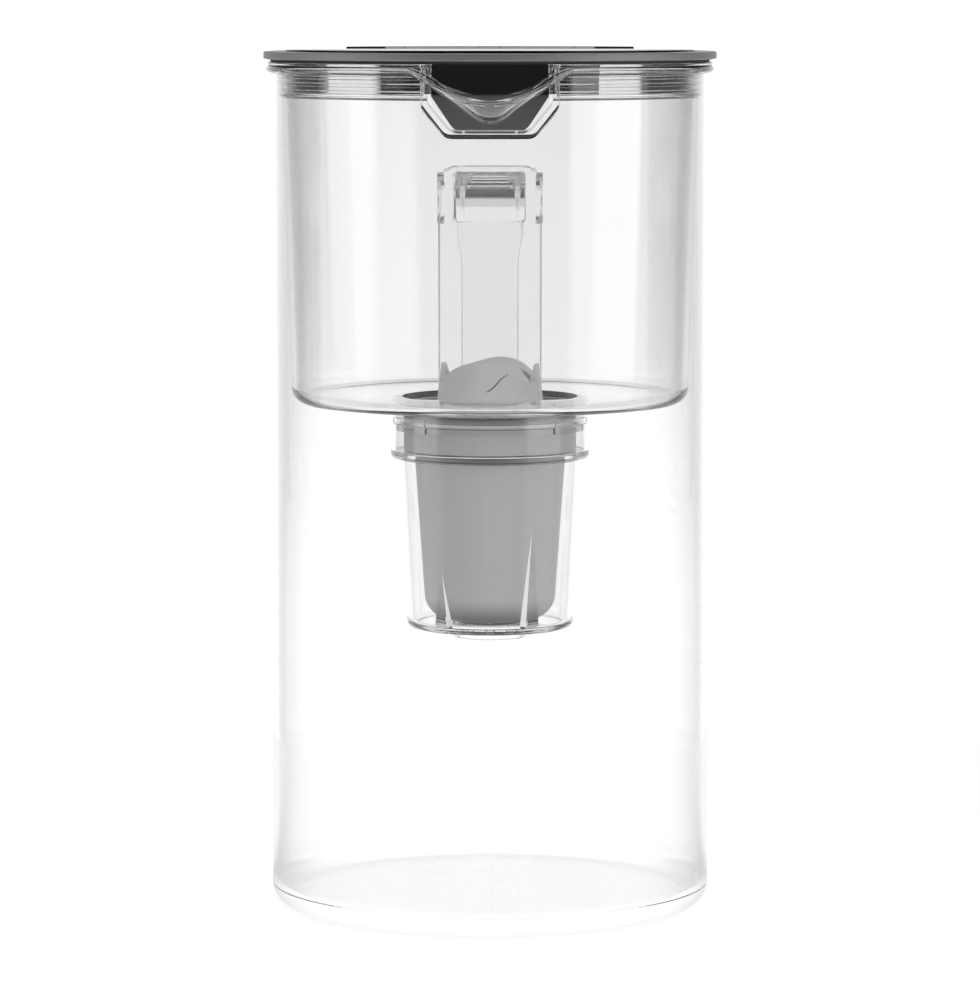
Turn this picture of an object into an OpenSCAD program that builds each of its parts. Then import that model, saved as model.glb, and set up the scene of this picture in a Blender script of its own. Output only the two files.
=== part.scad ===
// Water filter pitcher with a flip lid.
// A clear jug carries a hanging hopper, the hopper carries a filter cup with its cartridge, and a
// steel lid with a hinged flap closes the hopper.
// Millimetres, +Z up. The origin is the middle of the jug's foot, and the spout points to -Y.

/* [Jug] */
// Outer diameter of the jug's wall
jug_d = 131.8; // [128:0.1:140]
// Height of the jug's rim above the foot
jug_h = 252.9; // [240:0.1:270]
// Thickness of the jug's wall
jug_wall = 1.9; // [1.6:0.1:2.4]
// Thickness of the jug's floor
jug_floor_t = 4; // [3:0.1:8]
// Radius of the jug's outer bottom corner
jug_corner_r = 7; // [5:0.5:10]
// How far the rim bead stands out from the wall
rim_bead = 1.1; // [0.6:0.1:1.6]
// Height of the rim bead
rim_bead_h = 3.2; // [2.4:0.1:4]

/* [Spout] */
// Depth of the spout's root below the rim
spout_depth = 15.4; // [13:0.1:17]
// Radius of the rounded keel of the spout
spout_keel_r = 8; // [7:0.5:9]
// Half angle of the spout's funnel, in degrees
spout_angle = 53.5; // [50:0.5:56]
// How far the lip dips below the rim in the middle
lip_dip = 9; // [8:0.1:10]
// Sideways slope of the lip's edge, in degrees
lip_side_slope = 14; // [12:1:17]
// Forward slope of the lip's edge, in degrees
lip_front_slope = 19; // [16:1:22]

/* [Handle] */
// Width of the back plate on the jug
handle_plate_w = 34.4; // [30:0.1:40]
// Thickness of the back plate
handle_plate_t = 2.6; // [2:0.1:4]
// Height of the handle from arm to arm
handle_h = 110; // [100:1:120]
// Drop of the handle's top below the rim
handle_drop = 33.5; // [30:0.5:40]
// How far the handle stands out behind the jug
handle_reach = 52; // [46:1:60]
// Width of the two arms
arm_w = 24.3; // [22:0.1:28]
// Height of each arm
arm_h = 17; // [14:0.5:20]
// Width of the grip
grip_w = 19; // [17:0.5:21]
// Thickness of the grip
grip_t = 8; // [6:0.5:10]
// Outer bend radius of the handle
handle_bend_r = 16; // [13:0.5:18]
// Thickness of the glue between plate and jug
glue_t = 0.1; // [0.05:0.05:0.2]

/* [Hopper] */
// Free gap between hopper wall and jug wall
hopper_gap = 1.6; // [1.4:0.1:2]
// Thickness of the hopper's wall
hopper_wall = 1.6; // [1.2:0.1:2]
// How much the hopper's radius shrinks from top to floor
hopper_taper = 2.8; // [1:0.1:5]
// Depth of the hopper's floor below the jug's rim
hopper_depth = 101; // [95:1:115]
// Thickness of the hopper's floor
hopper_floor_t = 2; // [1.6:0.1:3]
// Radius of the hopper's outer bottom corner
hopper_corner_r = 3; // [2.4:0.2:5]
// Thickness of the flange that rests on the jug's rim
flange_t = 1.2; // [1:0.1:2]
// Thickness of the ledge below the seal
ledge_t = 1.1; // [0.8:0.1:1.6]

/* [Pour recess] */
// Width of the recess at its top
recess_w = 36; // [32:0.5:38]
// Width of the recess at its bottom
recess_bottom_w = 22; // [18:0.5:26]
// Depth of the recess's bottom below the rim
recess_drop = 19.6; // [18:0.2:24]
// Height of the slanted lower part of the recess
recess_slant_h = 10.5; // [8:0.5:12]
// How far the recess reaches in from the hopper's wall
recess_in = 8.4; // [7:0.1:10]

/* [Hopper seal] */
// Height of the seal band
seal_h = 6.3; // [5:0.1:8]
// Thickness of the seal band without its ribs
seal_t = 0.6; // [0.4:0.1:0.7]
// Number of ribs on the seal
seal_ribs = 3; // [2:1:4]
// Height of one rib
seal_rib_h = 0.9; // [0.6:0.1:1.2]
// Free gap between the ribs and the jug
seal_gap = 0.3; // [0.2:0.05:0.4]

/* [Filter socket and cup] */
// Free gap between cartridge and socket
socket_gap = 0.4; // [0.3:0.05:0.6]
// Thickness of the socket's wall
socket_wall = 1.15; // [1:0.05:1.4]
// Height of the socket below the hopper's floor
socket_h = 8; // [7:0.5:9]
// Height of a lug on the socket
lug_h = 2; // [1.6:0.2:2.4]
// How far the lugs stand out
lug_reach = 0.9; // [0.8:0.05:1.1]
// Angle that one lug covers, in degrees
lug_angle = 36; // [28:1:38]
// Number of lugs
lug_n = 3; // [2:1:3]
// Free gap round the twisting lugs
lug_gap = 0.3; // [0.2:0.05:0.4]
// Thickness of the seal between cup and hopper
cup_seal_t = 2.1; // [1.6:0.1:2.6]
// Thickness of the collar's wall
collar_wall = 1.15; // [1:0.05:1.6]
// Height of the cup's collar
collar_h = 14.2; // [13:0.2:18]
// Thickness of the ledge that carries the cartridge
cup_ledge_t = 2; // [1.6:0.1:2.6]
// Height of the cup from nozzle seat to collar
cup_h = 65.7; // [60:0.1:72]
// How far the cup steps in below the collar
cup_step = 2.2; // [1.8:0.1:2.6]
// How much the cup's radius shrinks from collar to bottom
cup_taper = 2.7; // [1:0.1:3.2]
// Thickness of the cup's wall
cup_wall = 2.4; // [2:0.1:2.6]
// Thickness of the cup's floor
cup_floor_t = 1.8; // [1.4:0.1:2.4]
// Outer diameter of the nozzle ring
nozzle_d = 21.8; // [18:0.1:26]
// Height of the nozzle ring
nozzle_h = 3; // [2:0.1:5]
// Thickness of the nozzle ring's wall
nozzle_wall = 1.5; // [1:0.1:2]
// Diameter of an outlet hole
outlet_d = 1.8; // [1.4:0.1:2.2]
// Number of outlet holes
outlet_n = 8; // [5:1:9]

/* [Cartridge] */
// Diameter of the cartridge's head ring in the collar
cartridge_d = 51.9; // [50:0.1:54]
// Diameter of the cartridge's body at its top
cartridge_body_d = 45.5; // [42:0.1:46.5]
// Diameter of the cartridge's body at its bottom
cartridge_low_d = 38.4; // [34:0.1:40]
// Bottom corner radius of the cartridge
cartridge_corner_r = 8; // [6:0.5:10]
// Height of the ring part
cartridge_ring_h = 11.3; // [10.5:0.1:12.5]
// Free gap between the cartridge's bottom and the cup's floor
cartridge_gap = 0.8; // [0.4:0.1:1.5]
// Thickness of the shell
shell_t = 1; // [0.8:0.1:1.4]
// Thickness of the shell's ring part
ring_wall = 2.4; // [2:0.1:3]
// Thickness of the cap's deck
deck_t = 1.5; // [1.2:0.1:2]
// Diameter of the head at its foot
head_d = 32.4; // [30:0.1:34]
// Diameter of the head at its shoulder
head_top_d = 30.4; // [28:0.1:31]
// Height of the head's straight side
head_side_h = 8.4; // [7:0.1:10]
// Height of the dome above the side
dome_h = 5.9; // [4.5:0.1:7]
// Thickness of the head's wall
head_wall = 1.3; // [1:0.1:2]
// Number of inlet slots round the head
inlet_n = 8; // [6:1:10]
// Angle that one inlet slot covers, in degrees
inlet_angle = 26; // [16:1:28]
// Thickness of the cartridge's O-ring
oring_t = 1.5; // [1.3:0.1:1.7]
// Thickness of each filter pad
felt_t = 2.5; // [2:0.1:3.5]
// Height of the resin bed
resin_h = 22; // [15:1:28]

/* [Lid] */
// Thickness of the gasket under the lid
gasket_t = 0.6; // [0.5:0.1:1]
// Thickness of the frame's inner deck
frame_t = 0.8; // [0.8:0.1:1.2]
// How much higher the frame is under the trim ring
frame_step = 0.6; // [0.4:0.1:0.8]
// Depth of the lid's plug below the gasket
plug_depth = 9.4; // [7:0.1:11]
// Thickness of the plug's wall
plug_wall = 1.4; // [1.2:0.1:2]
// Free gap between the lid's skirt and the hopper
lid_fit = 0.5; // [0.4:0.05:0.8]
// Thickness of the steel skirt
skirt_t = 0.6; // [0.5:0.1:0.8]
// Thickness of the trim ring
trim_t = 0.9; // [0.7:0.1:1.1]
// How far the trim ring stands out over the rim bead
trim_over = 0.7; // [0.4:0.1:1]
// Width of the trim ring's top
trim_w = 6.3; // [5.6:0.1:6.8]
// Width of the deck between the plug's front wall and the fill opening
fill_edge = 0.8; // [0.6:0.1:3]
// Width of the deck between the fill opening and the hinge's trough
fill_land = 12.8; // [10:0.1:18]
// How far the pour guard stays inside the recess's outline
guard_inset = 1; // [0.5:0.1:2]

/* [Flap and hinge] */
// Thickness of the flap's steel plate
plate_t = 0.8; // [0.6:0.1:1]
// Thickness of the flap's liner
liner_t = 1.6; // [1.4:0.1:2]
// Free gap round the flap
flap_gap = 0.5; // [0.4:0.05:0.8]
// Gap below the flap's liner
liner_gap = 0.1; // [0.05:0.05:0.2]
// Width of the finger scoop at the flap's front
scoop_w = 36; // [28:1:44]
// Depth of the finger scoop
scoop_in = 3.5; // [2.5:0.1:5]
// Distance of the hinge line from the rear of the cover
hinge_inset = 22.9; // [21:0.1:25]
// Diameter of the hinge pin
pin_d = 2; // [1.6:0.1:2.2]
// Radial running gap between pin and knuckle
pin_gap = 0.05; // [0.03:0.01:0.08]
// Length of the hinge
hinge_w = 64; // [56:1:70]
// Length of an outer frame ear
ear_w = 6; // [5:0.5:8]
// End gap between two knuckles
knuckle_gap = 0.2; // [0.15:0.05:0.4]
// Width of the ring that seals the fill opening
flap_seal_w = 2; // [1.5:0.1:2.5]
// Diameter of a cover screw
screw_d = 2; // [1.8:0.1:2.2]
// Distance between the two cover screws
screw_spacing = 50; // [40:1:56]
// Free gap between a screw's head and the plug's wall
screw_edge = 1.3; // [0.5:0.1:3]

/* [Hidden] */
$fn = 180;
BIG = 400;
SKIN = 0.01;
EDGE = 0.5;
OVER = 3;

// Jug and rim
jug_r = jug_d / 2;
jug_in_r = jug_r - jug_wall;
rim_r = jug_r + rim_bead;
rim_z = jug_h;
rim_shoulder = 0.6 * rim_bead_h;

// Spout: a funnel of one half angle with a rounded keel, both offset by the wall for the inside
spout_inset = 0.9;
spout_y = spout_inset - jug_r;
spout_z = rim_z - spout_depth + spout_keel_r;
keel_split = 0.55;

// Handle
handle_top = rim_z - handle_drop;
handle_low = handle_top - handle_h;
plate_in_r = jug_r + glue_t;
handle_back = jug_r + handle_reach;
plate_over = 1.4;
plate_round = 6;
finger_bend_r = 9;
waist_inset = 2;

// Hopper, from the rim down
hopper_r = jug_in_r - hopper_gap;
hopper_low_r = hopper_r - hopper_taper;
hopper_in_r = hopper_r - hopper_wall;
flange_inset = 0.4;
flange_r = rim_r - flange_inset;
flange_z = rim_z + flange_t;
floor_z = rim_z - hopper_depth;
floor_top = floor_z + hopper_floor_t;
bead_drop = 1.9;
bead_gap = 0.6;
bead_r = jug_in_r - bead_gap;
seal_fit = 0.1;
seal_top = rim_z - bead_drop - seal_fit;
seal_low = seal_top - seal_h;
ledge_top = seal_low - seal_fit;
ledge_low = ledge_top - ledge_t;
ledge_gap = 0.5;
ledge_r = jug_in_r - ledge_gap;
seal_in_r = hopper_r + seal_fit;
seal_r = jug_in_r - seal_gap;

// Pour recess
recess_back = hopper_r - recess_in;
recess_z = rim_z - recess_drop;
seal_end_gap = 1;

// Filter socket, lugs and cup
cartridge_r = cartridge_d / 2;
socket_in_r = cartridge_r + socket_gap;
socket_r = socket_in_r + socket_wall;
lug_out_r = socket_r + lug_reach;
lug_turn = 90;
collar_in_r = lug_out_r + lug_gap;
collar_r = collar_in_r + collar_wall;
socket_z = floor_z - socket_h;
lug_top = socket_z + lug_h;
lug_lift = 0.1;
collar_top = floor_z - cup_seal_t - lug_lift;
collar_low = collar_top - collar_h;
cup_low = collar_top - cup_h;
cup_r = collar_r - cup_step;
cup_low_r = cup_r - cup_taper;
cup_corner_r = 1.6;
cup_in_corner_r = 1;
collar_corner_r = 2.2;
cup_seat = collar_low + cup_ledge_t;
nozzle_r = nozzle_d / 2;
nozzle_in_r = nozzle_r - nozzle_wall;
nozzle_z = cup_low - nozzle_h;
outlet_ring_r = 0.64 * nozzle_in_r;
screen_t = 0.8;
screen_fit = 0.05;

// Cartridge
seat_gap = 0.1;
ring_z = cup_seat + seat_gap;
body_r = cartridge_body_d / 2;
low_r = cartridge_low_d / 2;
shell_z = cup_low + cup_floor_t + cartridge_gap;
drain_ring_r = 0.35 * low_r;
ring_top = ring_z + cartridge_ring_h;
deck_top = ring_top + deck_t;
head_r = head_d / 2;
head_top_r = head_top_d / 2;
shoulder_z = deck_top + head_side_h;
dome_r = (head_top_r * head_top_r + dome_h * dome_h) / (2 * dome_h);
dome_top = shoulder_z + dome_h;
ring_in_r = cartridge_r - ring_wall;
inlet_in_r = head_r + 1.2;
inlet_out_r = ring_in_r - 0.3;
oring_drop = 2.6;
oring_z = ring_top - oring_drop;
oring_proud = 0.1;
oring_mid_r = cartridge_r + oring_proud - oring_t / 2;
oring_fit = 0.05;
bed_fit = 0.1;
felt_low = shell_z + shell_t + bed_fit;
resin_low = felt_low + felt_t;
middle_low = resin_low + resin_h;
carbon_low = middle_low + felt_t;
top_felt_low = ring_top - felt_t;
fin_w = 3;
fin_t = 1.8;
fin_drop = 0.6;
fin_tip_in = 0.45;
fin_tip_out = 0.62;

// Lid, from the hopper's flange up
gasket_top = flange_z + gasket_t;
gasket_inset = 1;
deck_z = gasket_top + frame_t;
frame_top = deck_z + frame_step;
frame_inset = 0.6;
frame_r = rim_r - frame_inset;
skirt_fit = 0.1;
skirt_r = hopper_in_r - lid_fit;
plug_r = skirt_r - skirt_t - skirt_fit;
skirt_front = recess_back - hopper_wall - lid_fit;
plug_front = skirt_front - skirt_t - skirt_fit;
plug_low = gasket_top - plug_depth;
trim_r = rim_r + trim_over;
trim_in_r = trim_r - trim_w;
trim_fit = 0.1;
trim_lift = 0.8;
trim_z = flange_z + trim_lift;
trim_top = frame_top + trim_fit + trim_t;
trim_bevel = 0.4;
liner_z = deck_z + liner_gap;
liner_top = liner_z + liner_t;
plate_top = liner_top + plate_t;
flap_r = trim_in_r - flap_gap;
liner_inset = 0.5;
liner_r = flap_r - liner_inset;

// Hinge
pin_r = pin_d / 2;
bore_r = pin_r + pin_gap;
barrel_r = plate_top - liner_z;
hinge_z = liner_z;
hinge_back = flap_r - hinge_inset;
hinge_half = hinge_w / 2;
trough_gap = 0.4;
trough_half = barrel_r + trough_gap;
barrel_end_gap = 0.3;
flap_end_y = hinge_back - barrel_r - barrel_end_gap;
sweep_r = norm([hinge_back - flap_end_y, barrel_r]);
trough_floor = 0.9;
trough_low = hinge_z - trough_half - trough_floor;
ear_root = 1;
cover_y = hinge_back + sweep_r + barrel_end_gap;

// Fill opening and its ring, between the plug's front wall and the hinge's trough
fill_front_y = plug_wall + fill_edge - plug_front;
fill_rear_y = hinge_back - trough_half - plug_wall - fill_land;
fill_r = (fill_rear_y - fill_front_y) / 2;
fill_y = (fill_rear_y + fill_front_y) / 2;
flap_seal_r = fill_r + 2.8;
flap_seal_end = flap_seal_r + flap_seal_w;
flap_seal_lift = 0.03;
flap_seal_fit = 0.05;
seal_groove = 0.8;

// Screws that hold the rear cover, on a circle inside the plug's wall
screw_head_d = 2 * screw_d;
screw_head_t = 1.1;
screw_bite = 1.6;
screw_gap = 0.1;
screw_ring_r = plug_r - plug_wall - screw_head_d / 2 - screw_edge;
screw_x = screw_spacing / 2;
screw_y = sqrt(screw_ring_r * screw_ring_r - screw_x * screw_x);

// A tapered solid of revolution with a rounded lower corner and a straight top
module pot(r_low, r_high, z_low, z_high, corner, z_top) {
    rotate_extrude() {
        polygon([[0, z_low], [r_low - corner, z_low], [r_low - corner, z_low + corner],
                 [r_low, z_low + corner], [r_high, z_high], [r_high, z_top], [0, z_top]]);
        translate([r_low - corner, z_low + corner]) intersection() {
            circle(r = corner);
            translate([0, -corner]) square([corner, corner]);
        }
    }
}

// A straight ring
module ring(r_in, r_out, z_low, z_high) {
    rotate_extrude() translate([r_in, z_low]) square([r_out - r_in, z_high - z_low]);
}

// A disc between two heights
module disc(r, z_low, z_high) {
    translate([0, 0, z_low]) cylinder(r = r, h = z_high - z_low);
}

// A part of a ring that covers an angle round a direction
module ring_part(r_in, r_out, z_low, z_high, angle, direction) {
    reach = 2 * r_out;
    intersection() {
        ring(r_in, r_out, z_low, z_high);
        rotate([0, 0, direction]) translate([0, 0, z_low]) linear_extrude(z_high - z_low)
            polygon([[0, 0], reach * [cos(angle / 2), -sin(angle / 2)],
                     reach * [cos(angle / 2), sin(angle / 2)]]);
    }
}

// A block given by its two corners
module block(low, high) {
    translate(low) cube(high - low);
}

// A rod along X
module rod(r, x_low, x_high, y, z) {
    translate([x_low, y, z]) rotate([0, 90, 0]) cylinder(r = r, h = x_high - x_low, $fn = 72);
}

// The spout's funnel, up to a little above the rim: a cone whose tip is rounded off by two flatter cones
module funnel(inset) {
    keel_r = spout_keel_r - inset;
    rise = rim_z - spout_z + OVER;
    side_start = 90 - spout_angle;
    top_r = keel_r * sin(side_start) + (rise + keel_r * cos(side_start)) * tan(spout_angle);
    translate([0, spout_y, spout_z]) rotate([0, 0, 90]) rotate_extrude($fn = 72)
        polygon([[0, -keel_r],
                 keel_r * [sin(keel_split * side_start), -cos(keel_split * side_start)],
                 keel_r * [sin(side_start), -cos(side_start)],
                 [top_r, rise], [0, rise]]);
}

// Everything above the lip's edge: a wide V that also slopes down towards the front
module lip_cut() {
    edge_z = rim_z - lip_dip;
    edge_y = spout_y - (edge_z - spout_z + spout_keel_r / sin(spout_angle)) * tan(spout_angle);
    rise = BIG * tan(lip_side_slope);
    translate([0, edge_y, edge_z]) rotate([90 + lip_front_slope, 0, 0]) linear_extrude(BIG, center = true)
        polygon([[0, 0], [BIG, rise], [BIG, BIG], [-BIG, BIG], [-BIG, rise]]);
}

// The bead round the rim, drawn from its foot to its rounded edge
module rim_bead_ring() {
    root_r = jug_r - jug_wall / 2;
    rotate_extrude() polygon([[root_r, rim_z - rim_bead_h], [jug_r, rim_z - rim_bead_h],
        [rim_r, rim_z - rim_shoulder], [rim_r, rim_z - EDGE], [rim_r - EDGE, rim_z], [root_r, rim_z]]);
}

module jug() {
    color([0.88, 0.93, 0.95, 0.4]) difference() {
        union() {
            pot(jug_r, jug_r, 0, rim_z / 2, jug_corner_r, rim_z);
            rim_bead_ring();
            funnel(0);
        }
        pot(jug_in_r, jug_in_r, jug_floor_t, rim_z / 2, jug_corner_r - jug_wall, rim_z + OVER);
        funnel(jug_wall);
        lip_cut();
        disc(BIG, rim_z, rim_z + 2 * OVER);
    }
}

// A rectangle with round corners, drawn from exact circles
module rounded(w, h, r) {
    translate([r, 0]) square([w - 2 * r, h]);
    translate([0, r]) square([w, h - 2 * r]);
    for (x = [r, w - r], y = [r, h - r]) translate([x, y]) circle(r = r, $fn = 48);
}

module handle_plate() {
    plate_h = handle_h + 2 * plate_over;
    intersection() {
        ring(plate_in_r, plate_in_r + handle_plate_t, handle_low - plate_over, handle_top + plate_over);
        translate([-handle_plate_w / 2, BIG / 2, handle_low - plate_over]) rotate([90, 0, 0])
            linear_extrude(BIG / 2) rounded(handle_plate_w, plate_h, plate_round);
    }
}

// The C of the handle: two arms and the grip, with the finger gap cut out
module handle_bow() {
    root = plate_in_r - 2 * OVER;
    bow_l = handle_back - root;
    gap_h = handle_h - 2 * arm_h;
    side_cut = (arm_w - grip_w) / 2;
    difference() {
        translate([-arm_w / 2, 0, 0]) rotate([90, 0, 90]) linear_extrude(arm_w)
            translate([root, handle_low]) difference() {
                rounded(bow_l, handle_h, handle_bend_r);
                translate([-finger_bend_r, arm_h])
                    rounded(bow_l - grip_t + finger_bend_r, gap_h, finger_bend_r);
            }
        cylinder(r = plate_in_r, h = BIG);
        for (side = [-1, 1])
            translate([side * (grip_w / 2 + side_cut), 0, 0]) rotate([90, 0, 0]) translate([0, 0, -BIG])
                linear_extrude(BIG - handle_back + handle_bend_r)
                    translate([-side_cut, handle_low + arm_h + waist_inset])
                        rounded(2 * side_cut, gap_h - 2 * waist_inset, side_cut - SKIN);
    }
}

module handle() {
    color([0.88, 0.93, 0.95, 0.5]) union() {
        handle_plate();
        handle_bow();
    }
}

// Outline of the pour recess, grown by a wall on its sides and bottom
module recess_outline(grow) {
    top_w = recess_w / 2 + grow;
    low_w = recess_bottom_w / 2 + grow;
    low_z = recess_z - grow;
    polygon([[-low_w, low_z], [low_w, low_z], [top_w, low_z + recess_slant_h],
             [top_w, flange_z + OVER], [-top_w, flange_z + OVER], [-top_w, low_z + recess_slant_h]]);
}

// Space in front of a given distance from the axis, inside the recess's outline
module recess_space(back, grow) {
    translate([0, -back, 0]) rotate([90, 0, 0]) linear_extrude(BIG / 4) recess_outline(grow);
}

module socket_lugs(r_in, r_out, z_low) {
    for (i = [0 : lug_n - 1])
        ring_part(r_in, r_out, z_low, z_low + lug_h, lug_angle, lug_turn + i * 360 / lug_n);
}

// Inside of the hopper, without what the pour recess and its wall take up
module hopper_space() {
    difference() {
        pot(hopper_low_r - hopper_wall, hopper_in_r, floor_top, ledge_low,
            hopper_corner_r - hopper_wall, flange_z + OVER);
        recess_space(recess_back - hopper_wall, hopper_wall);
    }
}

module hopper() {
    color([0.9, 0.94, 0.96, 0.4]) difference() {
        union() {
            pot(hopper_low_r, hopper_r, floor_z, ledge_low, hopper_corner_r, flange_z);
            disc(ledge_r, ledge_low, ledge_top);
            disc(bead_r, rim_z - bead_drop, rim_z);
            disc(flange_r, rim_z, flange_z);
            disc(socket_r, socket_z, floor_z + EDGE);
            socket_lugs(socket_r - EDGE, lug_out_r, socket_z);
        }
        hopper_space();
        recess_space(recess_back, 0);
        disc(socket_in_r, socket_z - OVER, floor_top + OVER);
    }
}

module hopper_seal() {
    pitch = seal_h / seal_ribs;
    color([0.95, 0.96, 0.97, 0.6]) difference() {
        union() {
            ring(seal_in_r, seal_in_r + seal_t, seal_low, seal_top);
            for (i = [0 : seal_ribs - 1])
                ring(seal_in_r, seal_r, seal_low + (i + 0.5) * pitch - seal_rib_h / 2,
                     seal_low + (i + 0.5) * pitch + seal_rib_h / 2);
        }
        recess_space(recess_back, seal_end_gap);
    }
}

module filter_cup() {
    color([0.9, 0.94, 0.96, 0.4]) difference() {
        union() {
            pot(collar_r, collar_r, collar_low, collar_top - EDGE, collar_corner_r, collar_top);
            pot(cup_low_r, cup_r, cup_low, collar_low, cup_corner_r, collar_low + EDGE);
            disc(nozzle_r, nozzle_z, cup_low + EDGE);
        }
        difference() {
            disc(collar_in_r, cup_seat, collar_top + OVER);
            socket_lugs(socket_r + lug_gap, collar_in_r + EDGE, lug_top + lug_lift);
        }
        pot(cup_low_r - cup_wall, cup_r - cup_wall, cup_low + cup_floor_t, collar_low,
            cup_in_corner_r, cup_seat + OVER);
        disc(nozzle_in_r, nozzle_z - OVER, cup_low);
        for (i = [0 : outlet_n - 1]) rotate([0, 0, i * 360 / outlet_n])
            translate([outlet_ring_r, 0, cup_low - EDGE])
                cylinder(d = outlet_d, h = cup_floor_t + 2 * EDGE, $fn = 32);
    }
}

module cup_seal() {
    color([0.92, 0.93, 0.94]) ring(socket_r + lug_gap, collar_r - EDGE, collar_top, floor_z - lug_lift);
}

module outlet_screen() {
    color("silver") disc(nozzle_in_r - screen_fit, cup_low - screen_t, cup_low);
}

// Inside of the cartridge's shell, shrunk by a fit
module bed_space(fit) {
    pot(low_r - shell_t - fit, body_r - shell_t - fit, shell_z + shell_t + fit, ring_z,
        cartridge_corner_r - shell_t, ring_z + 2 * shell_t);
    disc(ring_in_r - fit, ring_z + shell_t, ring_top);
}

// A layer of the cartridge's filling
module layer(z_low, z_high) {
    intersection() {
        bed_space(bed_fit);
        disc(cartridge_r, z_low, z_high);
    }
}

module cartridge_shell() {
    color([0.62, 0.62, 0.63]) difference() {
        union() {
            pot(low_r, body_r, shell_z, ring_z, cartridge_corner_r, ring_z + EDGE);
            disc(cartridge_r, ring_z, ring_top);
        }
        bed_space(0);
        ring(oring_mid_r - oring_t / 2 - oring_fit, cartridge_r + OVER,
             oring_z - oring_t / 2 - oring_fit, oring_z + oring_t / 2 + oring_fit);
        for (i = [0 : outlet_n - 1]) rotate([0, 0, i * 360 / outlet_n])
            translate([drain_ring_r, 0, shell_z - EDGE])
                cylinder(d = outlet_d, h = shell_t + 2 * EDGE, $fn = 32);
    }
}

module cartridge_seal() {
    color([0.25, 0.25, 0.26]) rotate_extrude() translate([oring_mid_r, oring_z])
        circle(d = oring_t, $fn = 32);
}

// The head: a tapered side with a dome, all walls moved in by a skin for its inside
module head_form(skin) {
    inner_r = dome_r - skin;
    translate([0, 0, deck_top - deck_t])
        cylinder(r1 = head_r - skin, r2 = head_top_r - skin, h = head_side_h + deck_t);
    intersection() {
        translate([0, 0, dome_top - dome_r]) sphere(r = inner_r);
        disc(head_top_r - skin, shoulder_z - SKIN, dome_top + OVER);
    }
}

module head_fin() {
    fin_top = dome_top - fin_drop;
    translate([head_top_r - fin_w, fin_t / 2, 0]) rotate([90, 0, 0]) linear_extrude(fin_t)
        polygon([[0, shoulder_z - EDGE], [fin_w, shoulder_z - EDGE], [fin_w * fin_tip_out, fin_top],
                 [fin_w * fin_tip_in, fin_top]]);
}

module cartridge_cap() {
    color([0.64, 0.64, 0.65]) difference() {
        union() {
            disc(cartridge_r, ring_top, deck_top);
            head_form(0);
            for (side = [0, 180]) rotate([0, 0, side]) head_fin();
        }
        difference() {
            head_form(head_wall);
            disc(head_r, dome_top - head_wall, dome_top + OVER);
        }
        for (i = [0 : inlet_n - 1])
            ring_part(inlet_in_r, inlet_out_r, ring_top - EDGE, deck_top + EDGE, inlet_angle,
                      (i + 0.5) * 360 / inlet_n);
    }
}

module top_felt() {
    color("white") layer(top_felt_low, ring_top);
}

module carbon_bed() {
    color([0.16, 0.16, 0.17]) layer(carbon_low, top_felt_low);
}

module middle_felt() {
    color("white") layer(middle_low, carbon_low);
}

module resin_bed() {
    color([0.78, 0.7, 0.5]) layer(resin_low, middle_low);
}

module bottom_felt() {
    color("white") layer(felt_low, resin_low);
}

// A disc whose front is cut flat behind the pour recess
module flat_front(r, front, z_low, z_high) {
    intersection() {
        disc(r, z_low, z_high);
        block([-BIG, -front, z_low], [BIG, BIG, z_high]);
    }
}

module frame_ears() {
    for (low = [-hinge_half, -ear_w / 2, hinge_half - ear_w]) {
        rod(barrel_r, low, low + ear_w, hinge_back, hinge_z);
        block([low, hinge_back - ear_root, trough_low], [low + ear_w, hinge_back + ear_root, hinge_z]);
    }
}

// The hinge's trough, grown by a wall
module trough(wall, z_low, z_high) {
    half = hinge_half + knuckle_gap + wall;
    block([-half, hinge_back - trough_half - wall, z_low], [half, hinge_back + trough_half + wall, z_high]);
}

// Guard that hangs from the plug behind the pour recess
module pour_guard() {
    intersection() {
        recess_space(plug_front - plug_wall, -guard_inset);
        block([-BIG, -plug_front, recess_z], [BIG, BIG, plug_low + SKIN]);
    }
}

// The frame as a moulded tray: deck, raised edge, plug and guard
module frame_body() {
    disc(frame_r, gasket_top, deck_z);
    ring(trim_in_r + trim_fit, frame_r, deck_z - SKIN, frame_top);
    difference() {
        flat_front(plug_r, plug_front, plug_low, gasket_top + SKIN);
        flat_front(plug_r - plug_wall, plug_front - plug_wall, plug_low - OVER, gasket_top);
    }
    pour_guard();
    trough(plug_wall, trough_low, gasket_top + SKIN);
}

module lid_frame() {
    color([0.1, 0.1, 0.11]) difference() {
        union() {
            difference() {
                frame_body();
                translate([0, fill_y, 0]) disc(fill_r, plug_low - OVER, deck_z + OVER);
                trough(0, trough_low + trough_floor, deck_z + OVER);
                for (side = [-1, 1]) translate([side * screw_x, screw_y, gasket_top - EDGE])
                    cylinder(d = screw_d + 2 * screw_gap, h = frame_t + 2 * EDGE, $fn = 48);
            }
            frame_ears();
        }
        rod(bore_r, -hinge_half - OVER, hinge_half + OVER, hinge_back, hinge_z);
    }
}

module lid_skirt() {
    color([0.7, 0.7, 0.72]) difference() {
        flat_front(skirt_r, skirt_front, plug_low, gasket_top);
        flat_front(skirt_r - skirt_t, skirt_front - skirt_t, plug_low - OVER, gasket_top + OVER);
    }
}

module lid_gasket() {
    color([0.2, 0.2, 0.21]) ring(hopper_r, flange_r - gasket_inset, flange_z, gasket_top);
}

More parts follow.
